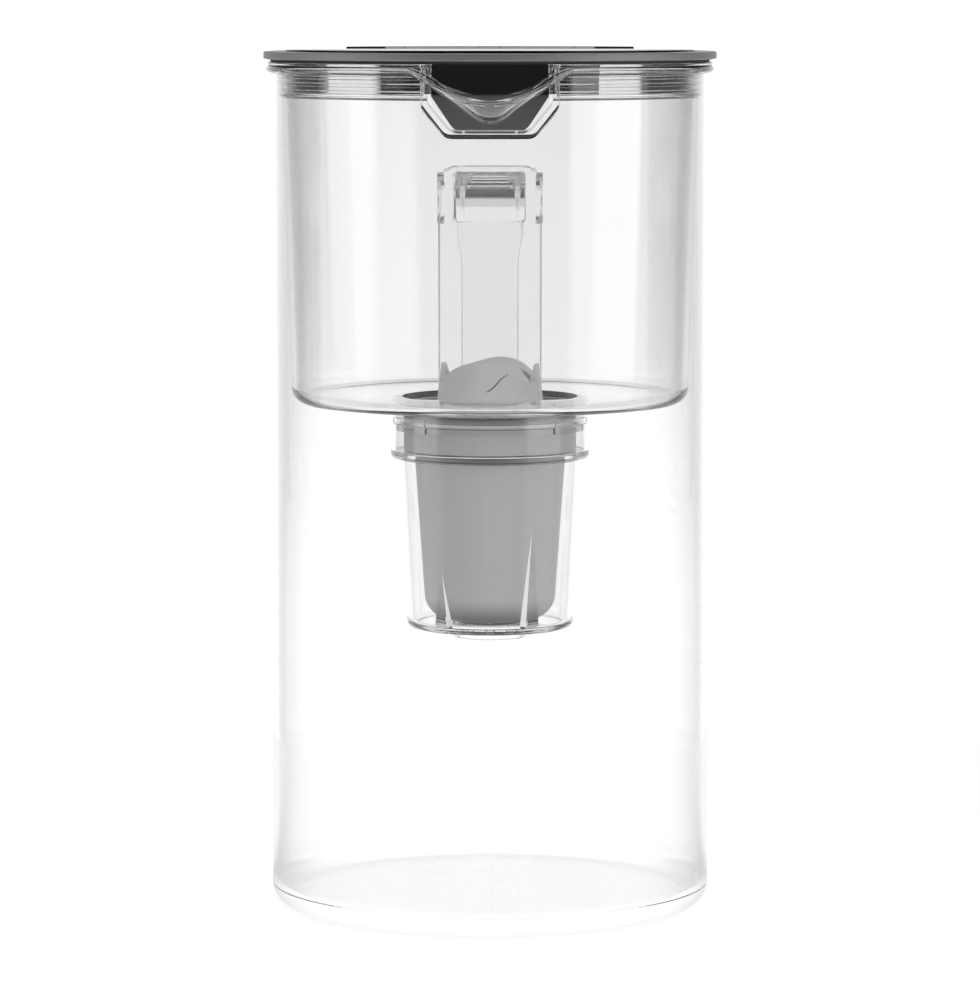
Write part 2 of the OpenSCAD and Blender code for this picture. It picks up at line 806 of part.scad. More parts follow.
module lid_trim_ring() {
    color([0.55, 0.55, 0.57]) difference() {
        union() {
            disc(trim_r, trim_z, trim_top - trim_bevel);
            translate([0, 0, trim_top - trim_bevel])
                cylinder(r1 = trim_r, r2 = trim_r - trim_bevel, h = trim_bevel);
        }
        disc(frame_r + trim_fit, trim_z - OVER, frame_top + trim_fit);
        disc(trim_in_r, trim_z - OVER, trim_top + OVER);
    }
}

module rear_cover() {
    color([0.08, 0.08, 0.09]) difference() {
        intersection() {
            disc(flap_r, deck_z, plate_top);
            block([-BIG, cover_y, deck_z], [BIG, BIG, plate_top]);
        }
        for (side = [-1, 1]) translate([side * screw_x, screw_y, deck_z - EDGE])
            cylinder(d = screw_d, h = screw_bite + EDGE, $fn = 48);
    }
}

module rear_cover_screws() {
    color("silver") for (side = [-1, 1]) translate([side * screw_x, screw_y, 0]) {
        translate([0, 0, gasket_top - screw_head_t]) cylinder(d = screw_head_d, h = screw_head_t, $fn = 48);
        translate([0, 0, gasket_top - SKIN]) cylinder(d = screw_d, h = frame_t + screw_bite, $fn = 48);
    }
}

// Outline shared by the flap's plate and liner: a disc with a straight rear edge
module flap_form(r, z_low, z_high) {
    intersection() {
        disc(r, z_low, z_high);
        block([-BIG, -BIG, z_low], [BIG, flap_end_y, z_high]);
    }
}

// Finger scoop at the flap's front edge
module scoop(in, z_low) {
    half_w = scoop_w / 2;
    scoop_r = (half_w * half_w + in * in) / (2 * in);
    translate([0, -flap_r + in - scoop_r, z_low]) cylinder(r = scoop_r, h = BIG);
}

module flap_plate() {
    color([0.6, 0.6, 0.62]) difference() {
        flap_form(flap_r, liner_top, plate_top);
        scoop(scoop_in, liner_z);
    }
}

module flap_liner() {
    inner = ear_w / 2 + knuckle_gap;
    outer = hinge_half - ear_w - knuckle_gap;
    color([0.12, 0.12, 0.13]) difference() {
        union() {
            flap_form(liner_r, liner_z, liner_top);
            for (side = [-1, 1]) {
                low = side < 0 ? -outer : inner;
                rod(barrel_r, low, low + outer - inner, hinge_back, hinge_z);
                block([low, flap_end_y - EDGE, liner_z], [low + outer - inner, hinge_back, liner_top]);
            }
        }
        scoop(scoop_in + liner_inset, liner_z - OVER);
        rod(bore_r, -hinge_half, hinge_half, hinge_back, hinge_z);
        translate([0, fill_y, 0]) ring(flap_seal_r - flap_seal_fit, flap_seal_end + flap_seal_fit,
                                       liner_z - OVER, liner_z + seal_groove);
    }
}

module flap_seal() {
    color([0.85, 0.86, 0.87]) translate([0, fill_y, 0])
        ring(flap_seal_r, flap_seal_end, deck_z + flap_seal_lift, liner_z + seal_groove);
}

module hinge_pin() {
    color("silver") rod(pin_r, -hinge_half, hinge_half, hinge_back, hinge_z);
}

jug();
handle();
hopper();
hopper_seal();
filter_cup();
cup_seal();
outlet_screen();
cartridge_shell();
cartridge_cap();
cartridge_seal();
top_felt();
carbon_bed();
middle_felt();
resin_bed();
bottom_felt();
lid_frame();
lid_skirt();
lid_gasket();
lid_trim_ring();
rear_cover();
rear_cover_screws();
flap_plate();
flap_liner();
flap_seal();
hinge_pin();
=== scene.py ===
"""Water filter pitcher with a flip lid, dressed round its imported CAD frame.

Sizes are millimetres and angles degrees. Meshes are made in metres, in the frame's own axes: +Z up,
the spout to -Y and the handle to +Y.
"""

import logging
import math
from collections.abc import Sequence
from dataclasses import dataclass, field
from enum import Enum

import bmesh
import bpy
import numpy as np
from mathutils import Matrix, Vector


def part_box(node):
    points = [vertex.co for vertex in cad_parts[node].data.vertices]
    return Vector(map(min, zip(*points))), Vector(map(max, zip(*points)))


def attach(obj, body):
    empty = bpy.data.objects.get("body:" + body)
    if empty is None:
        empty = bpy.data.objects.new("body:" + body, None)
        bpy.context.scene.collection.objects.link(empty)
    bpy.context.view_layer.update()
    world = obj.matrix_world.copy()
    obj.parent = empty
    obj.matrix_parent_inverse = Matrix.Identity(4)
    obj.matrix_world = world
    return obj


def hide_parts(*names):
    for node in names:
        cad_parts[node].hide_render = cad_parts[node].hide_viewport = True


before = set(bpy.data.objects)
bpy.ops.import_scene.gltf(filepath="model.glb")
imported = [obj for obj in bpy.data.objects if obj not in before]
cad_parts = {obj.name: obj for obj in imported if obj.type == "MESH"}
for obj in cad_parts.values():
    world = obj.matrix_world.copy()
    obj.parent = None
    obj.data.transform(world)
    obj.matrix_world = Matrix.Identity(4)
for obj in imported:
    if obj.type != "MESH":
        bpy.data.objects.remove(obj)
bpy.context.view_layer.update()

Triple = tuple[float, float, float]
Corners = Sequence[Sequence[float]]

# Metres in a millimetre
MM = 0.001
# Metres within which two vertices are one
CLOSE = 1e-7
CORNER_STEPS = 6
LATHE_SIDES = 256
SMALL_SIDES = 48
DRILL_SIDES = 24
# How far a cutter reaches past what it cuts
PAST = 1.0
BLACK: Triple = (0.0, 0.0, 0.0)
WHITE: Triple = (1.0, 1.0, 1.0)
EVEN: Triple = (1.0, 1.0, 1.0)
# Numbers of a Mix node's colour inputs and of its colour output
MIX_FIRST, MIX_SECOND, MIX_RESULT = 6, 7, 2
log = logging.getLogger("pitcher")


class Body(Enum):
    """The moving bodies of the pitcher, by their names in the frame."""

    JUG = "jug"
    HOPPER = "hopper"
    FILTER_CUP = "filter_cup"
    CARTRIDGE = "cartridge"
    LID = "lid"
    FLAP = "flap"


class Join(Enum):
    """What a tool does to a piece."""

    CUT = "DIFFERENCE"
    UNITE = "UNION"
    SHARE = "INTERSECT"


class Axis(Enum):
    """An axis of the frame that a piece is drawn along or turned about."""

    Y = "Y"
    Z = "Z"


# Node trees


class Wire:
    """A socket whose arithmetic adds Math nodes to its tree."""

    def __init__(self, tree: bpy.types.NodeTree, socket: bpy.types.NodeSocket) -> None:
        """Wraps an output socket of a tree."""
        self.tree = tree
        self.socket = socket

    def math(self, operation: str, *others: "Wire | float", first: bool = True) -> "Wire":
        """Adds a Math node.

        Args:
            operation: The Math node's operation.
            others: The other operands.
            first: Whether this socket is the first operand.

        Returns:
            The node's result.
        """
        operands = (self, *others) if first else (*others, self)
        return wired(self.tree, "ShaderNodeMath", dict(enumerate(operands)), operation=operation)

    def __add__(self, other: "Wire | float") -> "Wire":
        """self + other"""
        return self.math("ADD", other)

    def __sub__(self, other: "Wire | float") -> "Wire":
        """self - other"""
        return self.math("SUBTRACT", other)

    def __rsub__(self, other: float) -> "Wire":
        """other - self"""
        return self.math("SUBTRACT", other, first=False)

    def __mul__(self, other: "Wire | float") -> "Wire":
        """self * other"""
        return self.math("MULTIPLY", other)

    def __truediv__(self, other: "Wire | float") -> "Wire":
        """self / other"""
        return self.math("DIVIDE", other)

    def __rtruediv__(self, other: float) -> "Wire":
        """other / self"""
        return self.math("DIVIDE", other, first=False)

    __radd__ = __add__
    __rmul__ = __mul__

    def step(self, low: "Wire | float", high: "Wire | float") -> "Wire":
        """A smooth step from 0 at low to 1 at high, which may lie below low."""
        ends = {"Value": self, "From Min": low, "From Max": high}
        return wired(self.tree, "ShaderNodeMapRange", ends, interpolation_type="SMOOTHSTEP")


def wired(tree: bpy.types.NodeTree, kind: str, inputs: dict, output: int | str = 0, **settings: str) -> Wire:
    """Adds a node to a tree.

    Args:
        tree: The tree.
        kind: Full type of the node.
        inputs: Values or wires by socket name or number.
        output: Which output is wanted.
        settings: Settings of the node, which are set before its inputs.

    Returns:
        The wanted output.
    """
    node = tree.nodes.new(kind)
    for name, value in settings.items():
        setattr(node, name, value)
    for key, value in inputs.items():
        if isinstance(value, Wire):
            tree.links.new(value.socket, node.inputs[key])
        else:
            node.inputs[key].default_value = value
    return Wire(tree, node.outputs[output])


class Bench:
    """A node tree that is being wired."""

    prefix = "ShaderNode"

    def __init__(self, tree: bpy.types.NodeTree) -> None:
        """Clears the tree."""
        self.tree = tree
        tree.nodes.clear()

    def add(self, kind: str, output: int | str = 0, **inputs: object) -> Wire:
        """Adds a node.

        Args:
            kind: The node's type without its prefix, such as TexNoise.
            output: Which output is wanted.
            inputs: Values or wires by socket name, with _ for a space.

        Returns:
            The wanted output.
        """
        named = {name.replace("_", " "): value for name, value in inputs.items()}
        return wired(self.tree, self.prefix + kind, named, output)

    def split(self, vector: Wire) -> list[Wire]:
        """The X, Y and Z of a vector."""
        first = wired(self.tree, "ShaderNodeSeparateXYZ", {0: vector})
        return [Wire(self.tree, socket) for socket in first.socket.node.outputs]

    def blend(self, factor: Wire, low: Triple, high: Triple) -> Wire:
        """A colour between two colours: the first at a factor of 0, the second at 1."""
        ends = {0: factor, MIX_FIRST: (*low, 1.0), MIX_SECOND: (*high, 1.0)}
        return wired(self.tree, "ShaderNodeMix", ends, MIX_RESULT, data_type="RGBA")

    def choose(self, factor: Wire, first: Wire, second: Wire) -> Wire:
        """A mix of two shaders: the first at a factor of 0, the second at 1."""
        return wired(self.tree, "ShaderNodeMixShader", {0: factor, 1: first, 2: second})

    def place(self, stretch: Triple = EVEN) -> Wire:
        """Object coordinates, stretched along each axis."""
        return self.add("Mapping", Vector=self.add("TexCoord", "Object"), Scale=stretch)

    def noise(self, scale: float, detail: float = 3.0, stretch: Triple = EVEN) -> Wire:
        """Noise on Object coordinates.

        Args:
            scale: Size of the noise in waves per metre.
            detail: Number of finer octaves.
            stretch: Scale along each axis.

        Returns:
            A value from 0 to 1.
        """
        return self.add("TexNoise", "Fac", Vector=self.place(stretch), Scale=scale, Detail=detail)

    def relief(self, height: Wire, depth: float) -> Wire:
        """A normal from a height, in metres of depth."""
        return self.add("Bump", Height=height, Distance=depth, Strength=1.0)

    def finish(self, shader: Wire, kind: str = "OutputMaterial") -> None:
        """Links a shader to the output."""
        out = self.tree.nodes.new(self.prefix + kind)
        self.tree.links.new(shader.socket, out.inputs["Surface"])


class Grower(Bench):
    """A Geometry Nodes tree that makes a piece from its inputs."""

    prefix = "GeometryNode"

    def __init__(self, name: str, **kinds: str) -> None:
        """Makes the tree and its sockets.

        Args:
            name: Name of the tree.
            kinds: Type of each input by its name. One of them is Finish, the material.
        """
        super().__init__(bpy.data.node_groups.new(name, "GeometryNodeTree"))
        face = self.tree.interface
        face.new_socket("Geometry", in_out="OUTPUT", socket_type="NodeSocketGeometry")
        self.sockets = {
            label: face.new_socket(label, in_out="INPUT", socket_type="NodeSocket" + kind).identifier
            for label, kind in kinds.items()
        }
        ends = self.tree.nodes.new("NodeGroupInput")
        self.given = {label: Wire(self.tree, ends.outputs[label]) for label in kinds}

    def vector(self, **parts: Wire) -> Wire:
        """A vector from its X, Y and Z, or from some of them."""
        return wired(self.tree, "ShaderNodeCombineXYZ", parts)

    def close(self, geometry: Wire) -> None:
        """Realizes the geometry, gives it the finish and links the output.

        Args:
            geometry: What the tree has made.
        """
        real = self.add("RealizeInstances", Geometry=geometry)
        dressed = self.add("SetMaterial", Geometry=real, Material=self.given["Finish"])
        self.tree.links.new(dressed.socket, self.tree.nodes.new("NodeGroupOutput").inputs[0])

    def run(self, name: str, **values: object) -> bpy.types.Object:
        """Runs the tree.

        Args:
            name: Name of the object that it makes.
            values: Value of each input.

        Returns:
            The object as a plain mesh.
        """
        piece = register(bpy.data.objects.new(name, bpy.data.meshes.new(name)))
        grow = piece.modifiers.new("grow", "NODES")
        grow.node_group = self.tree
        for label, value in values.items():
            grow[self.sockets[label]] = value
        return settle(piece)


# Finishes


def grey(level: float) -> Triple:
    """A grey colour."""
    return (level, level, level)


@dataclass(frozen=True)
class Finish:
    """A finish that several pieces may share."""

    name: str

    def material(self) -> bpy.types.Material:
        """The finish's material, made once.

        Returns:
            The material.
        """
        title = "finish_" + self.name
        known = bpy.data.materials.get(title)
        if known:
            return known
        made = bpy.data.materials.new(title)
        made.use_nodes = True
        bench = Bench(made.node_tree)
        bench.finish(self.shader(bench))
        return made

    def shader(self, bench: Bench) -> Wire:
        """Wires the finish's shader."""
        raise NotImplementedError


@dataclass(frozen=True)
class Clear(Finish):
    """Clear glass, acrylic or silicone, which lets the lamps through."""

    tint: float = 0.99
    ior: float = 1.47
    gloss: float = 1.0
    cloud: float = 0.0
    wave: float = 6e-6
    pass_light: float = 0.97
    # Share of the tint kept where the wall is seen edge-on; the rest is painted shade for dark glass edges
    painted_edge_shade: float = 0.97
    smudge_tone: float = 0.004
    smudge_rough: float = 0.006

    def coat(self, bench: Bench) -> Wire | float:
        """How much more the wall mirrors than its own gloss."""
        return 0.0

    def shader(self, bench: Bench) -> Wire:
        """Wires the clear wall: drawn waviness, faint smudges, and a painted shade that darkens its colour
        where it is seen edge-on.

        Args:
            bench: The node tree that it is wired in.

        Returns:
            The shader.
        """
        drawn = bench.noise(9.0, 1.0, (1.0, 1.0, 0.25))
        smudge = bench.noise(26.0, 4.0).step(0.55, 0.8)
        # Painted shade: the colour darkens towards grazing view, so the glass shows dark edges
        edge_on = bench.add("LayerWeight", "Facing", Blend=0.5).step(0.4, 1.0)
        loss = self.tint * (1 - self.painted_edge_shade)
        wall = bench.add(
            "BsdfPrincipled",
            Base_Color=bench.blend(edge_on * -loss + smudge * -self.smudge_tone + self.tint, BLACK, WHITE),
            Roughness=smudge * self.smudge_rough + self.cloud,
            IOR=self.ior,
            Transmission_Weight=1.0,
            Specular_Tint=(*grey(self.gloss), 1.0),
            Coat_Weight=self.coat(bench),
            Normal=bench.relief(drawn, self.wave),
        )
        open_wall = bench.add("BsdfTransparent", Color=(*grey(self.pass_light), 1.0))
        return bench.choose(bench.add("LightPath", "Is Shadow Ray"), wall, open_wall)


@dataclass(frozen=True)
class FirePolished(Clear):
    """Clear glass whose pouring lip, in front and above, was flame-polished to a full gloss."""

    lip_y: float = -65.5
    lip_z: float = 237.0
    fade_y: float = 1.0
    fade_z: float = 2.0

    def coat(self, bench: Bench) -> Wire:
        """The gloss of the lip.

        Args:
            bench: The node tree that it is wired in.

        Returns:
            The coat's weight.
        """
        _, y, z = bench.split(bench.place())
        ahead = y.step(self.lip_y * MM, (self.lip_y - self.fade_y) * MM)
        return ahead * z.step((self.lip_z - self.fade_z) * MM, self.lip_z * MM)


@dataclass(frozen=True)
class Steel(Finish):
    """Stainless steel, polished or brushed along X."""

    level: float = 0.6
    rough: float = 0.08
    brush: float = 0.0

    def tone(self, bench: Bench, mix: Wire) -> Wire:
        """The steel's tone, a little uneven."""
        return bench.blend(mix, grey(self.level * 0.94), grey(self.level))

    def shader(self, bench: Bench) -> Wire:
        """Wires the steel: fine lines along X and a soft haze.

        Args:
            bench: The node tree that it is wired in.

        Returns:
            The shader.
        """
        lines = bench.noise(2600.0, 2.0, (0.012, 1.0, 1.0))
        haze = bench.noise(35.0, 4.0)
        return bench.add(
            "BsdfPrincipled",
            Base_Color=self.tone(bench, lines * 0.5 + haze * 0.5),
            Metallic=1.0,
            Roughness=haze * 0.04 + lines * self.brush + self.rough,
            Normal=bench.relief(lines, 2e-6 * self.brush + 2e-8),
        )


@dataclass(frozen=True)
class SteelWithPaintedEdgeShade(Steel):
    """Stainless sheet whose faces that are not level get a painted shade: their colour is darkened down to a
    dark edge level.
    """

    # Colour level of the painted shade on the side faces and edges
    edge: float = 0.04

    def tone(self, bench: Bench, mix: Wire) -> Wire:
        """The sheet's tone on its level faces, and a painted shade on its side faces and edges.

        Args:
            bench: The node tree that it is wired in.
            mix: The steel's unevenness, from 0 to 1.

        Returns:
            The colour.
        """
        # Painted shade: faces that do not face up or down are darkened down to the edge level
        flat = bench.split(bench.add("NewGeometry", "Normal"))[2].math("ABSOLUTE").step(0.3, 0.7)
        return bench.blend((mix * 0.06 + 0.94) * flat * (self.level - self.edge) + self.edge, BLACK, WHITE)


@dataclass(frozen=True)
class Moulded(Finish):
    """Moulded plastic or rubber."""

    level: float = 0.3
    rough: float = 0.4
    grain: float = 900.0
    depth: float = 1.5e-5

    def shader(self, bench: Bench) -> Wire:
        """Wires the plastic: a fine mould grain with a slightly uneven tone.

        Args:
            bench: The node tree that it is wired in.

        Returns:
            The shader.
        """
        grain = bench.noise(self.grain, 4.0)
        tone = bench.noise(18.0, 3.0)
        low, high = grey(self.level * 0.94), grey(self.level * 1.05)
        return bench.add(
            "BsdfPrincipled",
            Base_Color=bench.blend(tone * 0.7 + grain * 0.3, low, high),
            Roughness=grain * 0.12 + tone * 0.06 + self.rough,
            Normal=bench.relief(grain, self.depth),
        )


@dataclass(frozen=True)
class Grains(Finish):
    """Loose grains or matted fibres, packed."""

    dark: Triple = (0.02, 0.02, 0.02)
    light: Triple = (0.08, 0.08, 0.08)
    size: float = 0.9
    rough: float = 0.7

    def shader(self, bench: Bench) -> Wire:
        """Wires the grains: rounded cells with a shade of their own.

        Args:
            bench: The node tree that it is wired in.

        Returns:
            The shader.
        """
        cells = bench.add("TexVoronoi", "Distance", Vector=bench.place(), Scale=1.0 / (self.size * MM))
        shade = bench.noise(0.5 / (self.size * MM), 2.0)
        return bench.add(
            "BsdfPrincipled",
            Base_Color=bench.blend(shade.step(0.3, 0.7), self.dark, self.light),
            Roughness=cells * 0.3 + self.rough,
            Normal=bench.relief(1.0 - cells, self.size * MM * 0.5),
        )


# The jug's glass and the hopper get strong painted shade at their edges
JUG_GLASS = FirePolished("jug_glass", tint=0.995, ior=1.47, gloss=0.45, painted_edge_shade=0.63)
HANDLE_CLEAR = Clear("handle_clear", tint=0.985, ior=1.49, gloss=0.8)
HOPPER_CLEAR = Clear("hopper_clear", tint=0.93, ior=1.49, painted_edge_shade=0.8)
CUP_CLEAR = Clear("cup_clear", tint=0.965, ior=1.49)
CLEAR_SILICONE = Clear("clear_silicone", tint=0.97, ior=1.35, cloud=0.03, wave=2e-5)
WHITE_SILICONE = Moulded("white_silicone", level=0.72, rough=0.45, depth=6e-6)
DARK_RUBBER = Moulded("dark_rubber", level=0.03, rough=0.6)
CARTRIDGE_GREY = Moulded("cartridge_grey", level=0.46, rough=0.4, depth=4e-6)
CAP_GREY = Moulded("cap_grey", level=0.46, rough=0.36, depth=4e-6)
LID_PLASTIC = Moulded("lid_plastic", level=0.1, rough=0.35, depth=8e-6)
COVER_GLOSS = Moulded("cover_gloss", level=0.01, rough=0.3, depth=5e-7)
POLISHED_STEEL = Steel("polished_steel", level=0.72, rough=0.03)
TRIM_STEEL = Steel("trim_steel", level=0.34, rough=0.58)
# The flap plate's side faces and front edge get the painted edge shade
FLAP_STEEL = SteelWithPaintedEdgeShade("flap_steel", level=0.55, rough=0.16, brush=0.25)
PLAIN_STEEL = Steel("plain_steel", level=0.6, rough=0.2, brush=0.1)
FELT = Grains("felt", dark=grey(0.62), light=grey(0.82), size=0.25, rough=0.7)
CARBON = Grains("carbon", dark=grey(0.008), light=grey(0.04), size=0.9, rough=0.45)
RESIN = Grains("resin", dark=(0.35, 0.24, 0.1), light=(0.62, 0.48, 0.26), size=0.6, rough=0.25)


# Mesh tools


def register(piece: bpy.types.Object) -> bpy.types.Object:
    """Links an object to the scene."""
    bpy.context.scene.collection.objects.link(piece)
    return piece


def tighten(mesh: bpy.types.Mesh) -> None:
    """Merges vertices that meet, and turns the faces outwards.

    Args:
        mesh: The mesh, which is changed.
    """
    edit = bmesh.new()
    edit.from_mesh(mesh)
    bmesh.ops.remove_doubles(edit, verts=edit.verts, dist=CLOSE)
    if edit.calc_volume(signed=True) < 0:
        bmesh.ops.reverse_faces(edit, faces=edit.faces)
    edit.to_mesh(mesh)
    edit.free()


def net(name: str, grid: np.ndarray, wrap_rows: bool = False, caps: bool = False) -> bpy.types.Object:
    """Makes a closed object from rows of rings.

    Args:
        name: Name of the object.
        grid: Points as rows of closed rings, in millimetres.
        wrap_rows: Whether the last ring joins the first.
        caps: Whether flat faces close the first and the last ring.

    Returns:
        The object.
    """
    rows, cols = grid.shape[:2]
    faces = []
    for i in range(rows if wrap_rows else rows - 1):
        here, above = i * cols, (i + 1) % rows * cols
        faces += [(here + j, here + (j + 1) % cols, above + (j + 1) % cols, above + j) for j in range(cols)]
    if caps:
        faces += [tuple(range(cols))[::-1], tuple(range((rows - 1) * cols, rows * cols))]
    mesh = bpy.data.meshes.new(name)
    mesh.from_pydata((grid.reshape(-1, 3) * MM).tolist(), [], faces)
    tighten(mesh)
    return register(bpy.data.objects.new(name, mesh))


def eased(corners: Corners, closed: bool, steps: int = CORNER_STEPS) -> np.ndarray:
    """Rounds the corners of an outline.

    Args:
        corners: Two coordinates of each corner, and its radius where it has one.
        closed: Whether the last corner joins the first.
        steps: Number of segments of each round corner.

    Returns:
        The outline's points.
    """
    spots = [np.array(c[:2], float) for c in corners]
    out: list[np.ndarray] = []
    for i, corner in enumerate(corners):
        here = spots[i]
        if len(corner) < 3 or (not closed and i in (0, len(corners) - 1)):
            out.append(here)
            continue
        to_last = spots[i - 1] - here
        to_next = spots[(i + 1) % len(spots)] - here
        reach_last, reach_next = np.linalg.norm(to_last), np.linalg.norm(to_next)
        to_last, to_next = to_last / reach_last, to_next / reach_next
        half = math.acos(float(np.clip(to_last @ to_next, -1, 1))) / 2
        cut = min(corner[2] / math.tan(half), 0.499 * reach_last, 0.499 * reach_next)
        radius = cut * math.tan(half)
        middle = here + (to_last + to_next) / np.linalg.norm(to_last + to_next) * radius / math.sin(half)
        start, end = here + to_last * cut - middle, here + to_next * cut - middle
        sweep = math.pi - 2 * half
        for part in np.arange(steps + 1) / steps:
            mixed = math.sin((1 - part) * sweep) * start + math.sin(part * sweep) * end
            out.append(middle + mixed / math.sin(sweep))
    return np.array(out)


def oblong(half_w: float, half_h: float, bend: float, steps: int) -> np.ndarray:
    """An oblong outline round the origin, with rounded corners."""
    signs = ((-1, -1), (1, -1), (1, 1), (-1, 1))
    return eased([(x * half_w, y * half_h, bend) for x, y in signs], closed=True, steps=steps)


def arc(r: float, start: float, end: float, points: int) -> np.ndarray:
    """Points of an arc round the origin, from one angle to another, in radians from the second axis."""
    turns = np.linspace(start, end, points)
    return np.stack([r * np.sin(turns), r * np.cos(turns)], 1)


def lathe(name: str, corners: Corners, closed: bool = False, sides: int = LATHE_SIDES,
          steps: int = CORNER_STEPS) -> bpy.types.Object:
    """Turns an outline round the Z axis.

    Args:
        name: Name of the object.
        corners: Radius and height of each corner, and its rounding where it has one.
        closed: Whether the outline is a loop beside the axis; otherwise it starts and ends on it.
        sides: Number of sides.
        steps: Number of segments of each round corner.

    Returns:
        The object.
    """
    outline = eased(corners, closed, steps)
    turn = np.linspace(0, 2 * math.pi, sides, endpoint=False)
    grid = np.empty((len(outline), sides, 3))
    grid[..., 0] = outline[:, :1] * np.sin(turn)
    grid[..., 1] = -outline[:, :1] * np.cos(turn)
    grid[..., 2] = outline[:, 1:]
    return net(name, grid, wrap_rows=closed)


def rod(name: str, r: float, low: float, high: float, sides: int = LATHE_SIDES,
        ease: float = 0.0) -> bpy.types.Object:
    """A round rod or disc on the Z axis, with its edges rounded where ease is given."""
    soft = (ease,) if ease else ()
    return lathe(name, [(0, low), (r, low, *soft), (r, high, *soft), (0, high)], sides=sides)


def ring(name: str, in_r: float, out_r: float, low: float, high: float, ease: float, round_top: bool = True,
         steps: int = CORNER_STEPS) -> bpy.types.Object:
    """A ring round the Z axis with a rectangular section.

    Args:
        name: Name of the object.
        in_r: Inner radius.
        out_r: Outer radius.
        low: Height of its underside.
        high: Height of its top.
        ease: Rounding of its edges.
        round_top: Whether the upper edges are rounded too.
        steps: Number of segments of each round edge.

    Returns:
        The object.
    """
    top = (ease,) if round_top else ()
    wall = [(in_r, low, ease), (out_r, low, ease), (out_r, high, *top), (in_r, high, *top)]
    return lathe(name, wall, closed=True, steps=steps)


def prism(name: str, outline: np.ndarray, low: float, high: float,
          along: Axis = Axis.Z) -> bpy.types.Object:
    """Extrudes an outline.

    Args:
        name: Name of the object.
        outline: Two coordinates of each point: X and Y, or X and Z.
        low: Where it starts.
        high: Where it ends.
        along: The axis that it runs along.

    Returns:
        The object.
    """
    across, length = ((0, 1), 2) if along is Axis.Z else ((0, 2), 1)
    grid = np.empty((2, len(outline), 3))
    grid[..., across] = outline
    grid[..., length] = [[low], [high]]
    return net(name, grid, caps=True)


def sector(name: str, in_r: float, out_r: float, angle: float, low: float, high: float,
           points: int = 13) -> bpy.types.Object:
    """A part of a flat ring, with its middle on the X axis.

    Args:
        name: Name of the object.
        in_r: Inner radius.
        out_r: Outer radius.
        angle: Angle that it spans.
        low: Height of its underside.
        high: Height of its top.
        points: Number of points of each arc.

    Returns:
        The object.
    """
    half = math.radians(angle / 2)
    outline = np.concatenate([arc(in_r, -half, half, points), arc(out_r, half, -half, points)])[:, ::-1]
    return prism(name, outline, low, high)


def settle(piece: bpy.types.Object) -> bpy.types.Object:
    """Turns an object with its modifiers into a plain mesh.

    Args:
        piece: The object.

    Returns:
        The same object, with no modifiers.
    """
    graph = bpy.context.evaluated_depsgraph_get()
    mesh = bpy.data.meshes.new_from_object(piece.evaluated_get(graph), depsgraph=graph)
    piece.modifiers.clear()
    piece.data = mesh
    return piece


def combine(piece: bpy.types.Object, tool: bpy.types.Object, join: Join) -> bpy.types.Object:
    """Cuts a tool from a piece, joins it, or keeps what both share; the tool is used up.

    Args:
        piece: The piece that is worked on.
        tool: The other solid.
        join: What the tool does.

    Returns:
        The piece.
    """
    cut = piece.modifiers.new("cut", "BOOLEAN")
    cut.operation = join.value
    cut.solver = "MANIFOLD"
    cut.object = tool
    settle(piece)
    bpy.data.objects.remove(tool)
    return piece


def soften(piece: bpy.types.Object, width: float, segments: int = 3, angle: float = 35.0) -> bpy.types.Object:
    """Rounds the sharp edges of a piece.

    Args:
        piece: The piece.
        width: Width of the rounding.
        segments: Number of its segments.
        angle: Least angle of an edge that is rounded.

    Returns:
        The piece as a plain mesh.
    """
    bevel = piece.modifiers.new("edges", "BEVEL")
    bevel.width = width * MM
    bevel.segments = segments
    bevel.limit_method = "ANGLE"
    bevel.angle_limit = math.radians(angle)
    return settle(piece)


def moved(piece: bpy.types.Object, x: float = 0.0, y: float = 0.0, z: float = 0.0, turn: float = 0.0,
          about: Axis = Axis.Z) -> bpy.types.Object:
    """Turns a piece's mesh, and then moves it.

    Args:
        piece: The piece.
        x: Move along X.
        y: Move along Y.
        z: Move along Z.
        turn: Angle of the turn.
        about: The axis of the turn.

    Returns:
        The piece.
    """
    step = Matrix.Translation((x * MM, y * MM, z * MM))
    piece.data.transform(step @ Matrix.Rotation(math.radians(turn), 4, about.value))
    return piece


def around(shape: bpy.types.Object, count: int, finish: Finish, start: float = 0.0) -> bpy.types.Object:
    """Repeats a shape round the Z axis by Geometry Nodes.

    Args:
        shape: What is repeated; it is used up.
        count: Number of copies.
        finish: What the copies are made of.
        start: Angle of the first copy.

    Returns:
        All copies as one plain object.
    """
    tree = Grower("around_" + shape.name, Shape="Object", Count="Int", Start="Float", Finish="Material")
    given = tree.given
    angle = tree.add("InputIndex") / given["Count"] * (2 * math.pi) + given["Start"]
    points = tree.add("Points", Count=given["Count"])
    source = tree.add("ObjectInfo", "Geometry", Object=given["Shape"])
    tree.close(tree.add("InstanceOnPoints", Points=points, Instance=source, Rotation=tree.vector(Z=angle)))
    piece = tree.run(shape.name + "_round", Shape=shape, Count=count, Start=math.radians(start),
                     Finish=finish.material())
    bpy.data.objects.remove(shape)
    return piece


